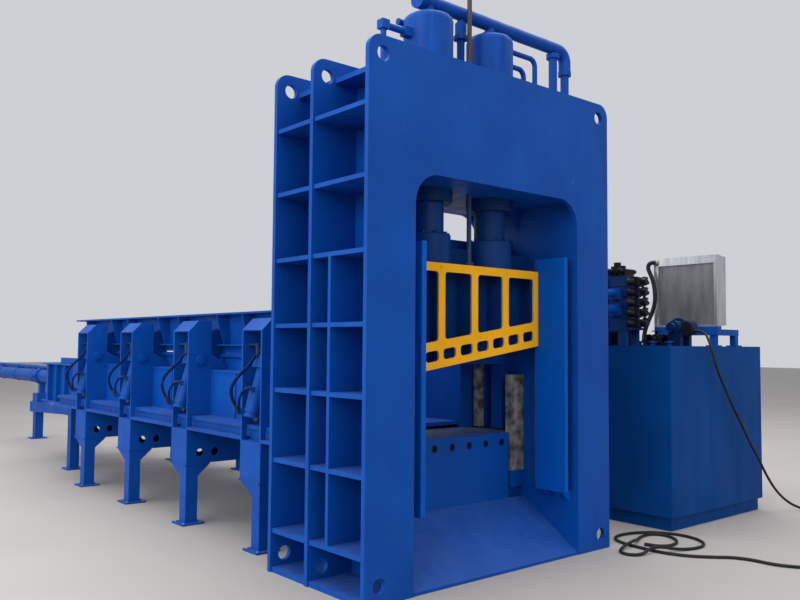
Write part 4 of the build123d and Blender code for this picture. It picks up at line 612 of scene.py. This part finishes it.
# Hoses from the four upper slices down to the tank's top. VALVE_HOSE is for a union at Y 0 and Z 0.
VALVE_HOSE_RADIUS = 0.013
VALVE_UNION_RADIUS = 0.012
VALVE_HOSE_PITCH = 0.085
VALVE_HOSE = [
    (2.487, 0.000, 0.000),
    (2.530, 0.000, 0.008),
    (2.580, 0.004, -0.006),
    (2.625, 0.010, -0.060),
    (2.645, 0.016, -0.140),
]
for i, top in enumerate((2.215, 2.117, 2.019, 1.921)):
    start_y = VALVE_HOSE_PITCH * i
    foot_y = start_y + 0.018
    points = moved(VALVE_HOSE, (0, start_y, top)) + [(2.652, foot_y, 1.720), (2.652, foot_y, 1.640)]
    hose(f"valve_hose_{i + 1}", points, VALVE_HOSE_RADIUS, HOSE_RUBBER, "gantry")
    unions = bmesh.new()
    hose_end(unions, (2.484, start_y, top), (1, 0, 0), (1, 0, 0.1), VALVE_UNION_RADIUS)
    hose_end(unions, (2.652, foot_y, 1.608), (0, 0, 1), (0, 0, 1), VALVE_UNION_RADIUS)
    dress(f"valve_hose_unions_{i + 1}", unions, DARK_PAINT, "gantry", bevel=0.001)

# Dark disc at the motor's end
DISC_STAGES = [(0, 0.03), (0.55, 0.03), (0.56, 0.078), (0.9, 0.080), (1, 0.066)]
disc = bmesh.new()
turned(disc, (2.835, -0.345, 1.775), (2.765, -0.345, 1.775), DISC_STAGES, 40)
dress("motor_end_disc", disc, DARK_PAINT, "gantry", bevel=0)

# Cooler's hose from its header down to the tank's top, with its clamps and the bolts of the cooler
COOLER_HOSE_RADIUS = 0.022
COOLER_HOSE = [
    (3.250, 0.268, 2.480),
    (3.212, 0.276, 2.484),
    (3.196, 0.304, 2.476),
    (3.194, 0.328, 2.446),
    (3.198, 0.322, 2.400),
    (3.206, 0.286, 2.320),
    (3.212, 0.262, 2.215),
    (3.212, 0.256, 2.080),
    (3.205, 0.282, 1.970),
    (3.190, 0.318, 1.885),
    (3.150, 0.330, 1.800),
    (3.100, 0.320, 1.720),
    (3.060, 0.300, 1.640),
    (3.050, 0.296, 1.612),
]
TOP_CLAMP_STAGES = [(0, 0.029), (0.5, 0.030), (1, 0.028)]
FOOT_CLAMP_STAGES = [(0, 0.034), (0.4, 0.034), (0.45, 0.028), (1, 0.028)]
hose("cooler_hose", COOLER_HOSE, COOLER_HOSE_RADIUS, HOSE_RUBBER, "gantry")
clamps = bmesh.new()
turned(clamps, (3.256, 0.268, 2.480), (3.226, 0.272, 2.482), TOP_CLAMP_STAGES)
turned(clamps, (3.050, 0.296, 1.610), (3.056, 0.298, 1.640), FOOT_CLAMP_STAGES)
for y in (-0.388, 0.260):
    for z in (1.90, 2.10, 2.30):
        hex_bolt(clamps, (3.254, y, z), (-1, 0, 0), 0.008)
dress("cooler_clamps", clamps, ZINC, "gantry", bevel=0.001)

# Supply cable: the same points as the tube in the model, in metres
CABLE_ROUTE = [
    (2.850, -0.385, 1.755),
    (2.850, -0.450, 1.755),
    (2.800, -0.535, 1.728),
    (2.722, -0.600, 1.680),
    (2.680, -0.655, 1.600),
    (2.694, -0.674, 1.495),
    (2.770, -0.670, 1.370),
    (2.890, -0.674, 1.215),
    (3.030, -0.668, 1.050),
    (3.180, -0.678, 0.870),
    (3.330, -0.680, 0.690),
    (3.480, -0.694, 0.515),
    (3.625, -0.698, 0.345),
    (3.760, -0.724, 0.190),
    (3.880, -0.785, 0.075),
    (3.960, -0.885, 0.020),
    (3.970, -1.020, 0.012),
    (3.880, -1.150, 0.012),
    (3.720, -1.250, 0.012),
    (3.500, -1.330, 0.012),
    (3.240, -1.400, 0.012),
    (2.960, -1.490, 0.012),
    (2.690, -1.620, 0.012),
    (2.456, -1.796, 0.012),
    (2.240, -1.930, 0.012),
    (2.040, -1.980, 0.012),
    (1.870, -1.910, 0.012),
    (1.760, -1.780, 0.012),
    (1.706, -1.640, 0.012),
    (1.716, -1.500, 0.012),
    (1.672, -1.370, 0.012),
    (1.575, -1.280, 0.012),
    (1.470, -1.170, 0.012),
    (1.395, -1.030, 0.012),
    (1.372, -0.880, 0.012),
    (1.380, -0.730, 0.012),
    (1.398, -0.580, 0.012),
    (1.455, -0.455, 0.012),
    (1.575, -0.390, 0.012),
    (1.720, -0.398, 0.012),
    (1.865, -0.450, 0.012),
    (1.980, -0.560, 0.012),
    (2.034, -0.710, 0.012),
    (2.012, -0.865, 0.012),
    (1.925, -0.990, 0.012),
    (1.785, -1.048, 0.012),
    (1.635, -1.020, 0.012),
    (1.520, -0.960, 0.020),
    (1.425, -0.908, 0.042),
    (1.320, -0.872, 0.042),
    (1.220, -0.886, 0.016),
    (1.132, -0.852, 0.012),
    (1.112, -0.766, 0.012),
    (1.176, -0.696, 0.012),
    (1.272, -0.674, 0.026),
    (1.352, -0.672, 0.042),
    (1.440, -0.652, 0.042),
    (1.535, -0.612, 0.022),
    (1.640, -0.560, 0.012),
    (1.755, -0.526, 0.012),
    (1.858, -0.536, 0.012),
    (1.918, -0.612, 0.012),
    (1.898, -0.710, 0.012),
    (1.828, -0.800, 0.012),
    (1.722, -0.858, 0.012),
    (1.610, -0.862, 0.012),
    (1.528, -0.800, 0.012),
    (1.500, -0.712, 0.012),
]
CABLE_RADIUS = 0.012
RELIEF_LENGTH = 0.050
RELIEF_STAGES = [
    (0, 0.0175),
    (0.25, 0.0185),
    (0.3, 0.0160),
    (0.45, 0.0165),
    (0.5, 0.0150),
    (0.65, 0.0155),
    (1, 0.0126),
]
END_SLEEVE_LENGTH = 0.055
END_SLEEVE_PAST = 0.004
END_SLEEVE_STAGES = [(0, 0.0128), (0.1, 0.0136), (0.94, 0.0136), (1, 0.0120)]
END_SLEEVE_LIFT = Vector((0, 0, 0.0016))  # its radius is that much more than the cable's

cable_curve = tube("supply_cable_line", CABLE_ROUTE, CABLE_RADIUS, CABLE_STEPS)
cable_curve.materials.append(BLACK_RUBBER)
cable = bpy.data.objects.new("supply_cable_sheath", cable_curve)
scene.collection.objects.link(cable)
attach(cable, "gantry")
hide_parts("supply_cable")
relief = bmesh.new()
gland_x, gland_y, gland_z = CABLE_ROUTE[0]
turned(relief, CABLE_ROUTE[0], (gland_x, gland_y - RELIEF_LENGTH, gland_z), RELIEF_STAGES, 28)
relief_piece = dress("cable_gland_sleeve", relief, BLACK_RUBBER, "gantry", bevel=0)
end_sleeve = bmesh.new()
tip = Vector(CABLE_ROUTE[-1])
into = (tip - Vector(CABLE_ROUTE[-2])).normalized()
start = tip - into * END_SLEEVE_LENGTH + END_SLEEVE_LIFT
end = tip + into * END_SLEEVE_PAST + END_SLEEVE_LIFT
turned(end_sleeve, start, end, END_SLEEVE_STAGES)
end_piece = dress("cable_end_sleeve", end_sleeve, HOSE_RUBBER, "gantry", bevel=0)

# Bolts that show: the ram's front to its web, and the feet of the legs
BOLT_RADIUS = 0.010
LEG_X = 0.9825
LEG_Y = 0.0575
FOOT_TOP = 0.016
FOOT_BOLT_OFFSETS = (-0.080, 0.080)

frame_bolts = bmesh.new()
for x in (-0.345, 0.345):
    hex_bolt(frame_bolts, (x, -0.267, 2.160), (0, -1, 0), BOLT_RADIUS)
dress("ram_front_bolts", frame_bolts, YELLOW, "ram", bevel=0.001)

foot_bolts = bmesh.new()
for row in ROWS:
    for side in (-1, 1):
        for dx in FOOT_BOLT_OFFSETS:
            for dy in FOOT_BOLT_OFFSETS:
                place = (side * LEG_X + dx, row + LEG_Y + dy, FOOT_TOP)
                hex_bolt(foot_bolts, place, (0, 0, 1), BOLT_RADIUS)
dress("leg_foot_bolts", foot_bolts, ZINC, "gantry", bevel=0.001)

# Floor and soft light
FLOOR_HALF_SIDE = 60
FLOOR_MIDDLE = (2, 5, 0)
floor_mesh = bpy.data.meshes.new("floor")
built = bmesh.new()
bmesh.ops.create_grid(built, x_segments=1, y_segments=1, size=FLOOR_HALF_SIDE)
built.to_mesh(floor_mesh)
built.free()
floor_mesh.materials.append(CONCRETE)
floor = bpy.data.objects.new("floor", floor_mesh)
floor.location = FLOOR_MIDDLE
scene.collection.objects.link(floor)

SKY_COLOUR = (0.93, 0.95, 1.0, 1)
SKY_STRENGTH = 0.66
world = bpy.data.worlds.new("studio")
world.use_nodes = True
background = world.node_tree.nodes["Background"]
background.inputs["Color"].default_value = SKY_COLOUR
background.inputs["Strength"].default_value = SKY_STRENGTH
scene.world = world


def area_light(name, place, target, size, watts, colour=(1, 1, 1)):
    """Rectangular light at a place, turned to a target."""
    data = bpy.data.lights.new(name, "AREA")
    data.shape = "RECTANGLE"
    data.size, data.size_y = size
    data.energy = watts
    data.color = colour
    light = bpy.data.objects.new(name, data)
    light.location = place
    light.rotation_mode = "QUATERNION"
    light.rotation_quaternion = (Vector(target) - Vector(place)).to_track_quat("-Z", "Y")
    scene.collection.objects.link(light)


area_light("roof_light", (1, 3, 11), (0, 3, 0), (16, 20), 2000)
area_light("left_windows", (-13, 1, 6), (0, 2, 1), (18, 7), 1500, (0.94, 0.97, 1))
area_light("front_light", (-3, -13, 7), (1, 0, 1.5), (12, 7), 420)
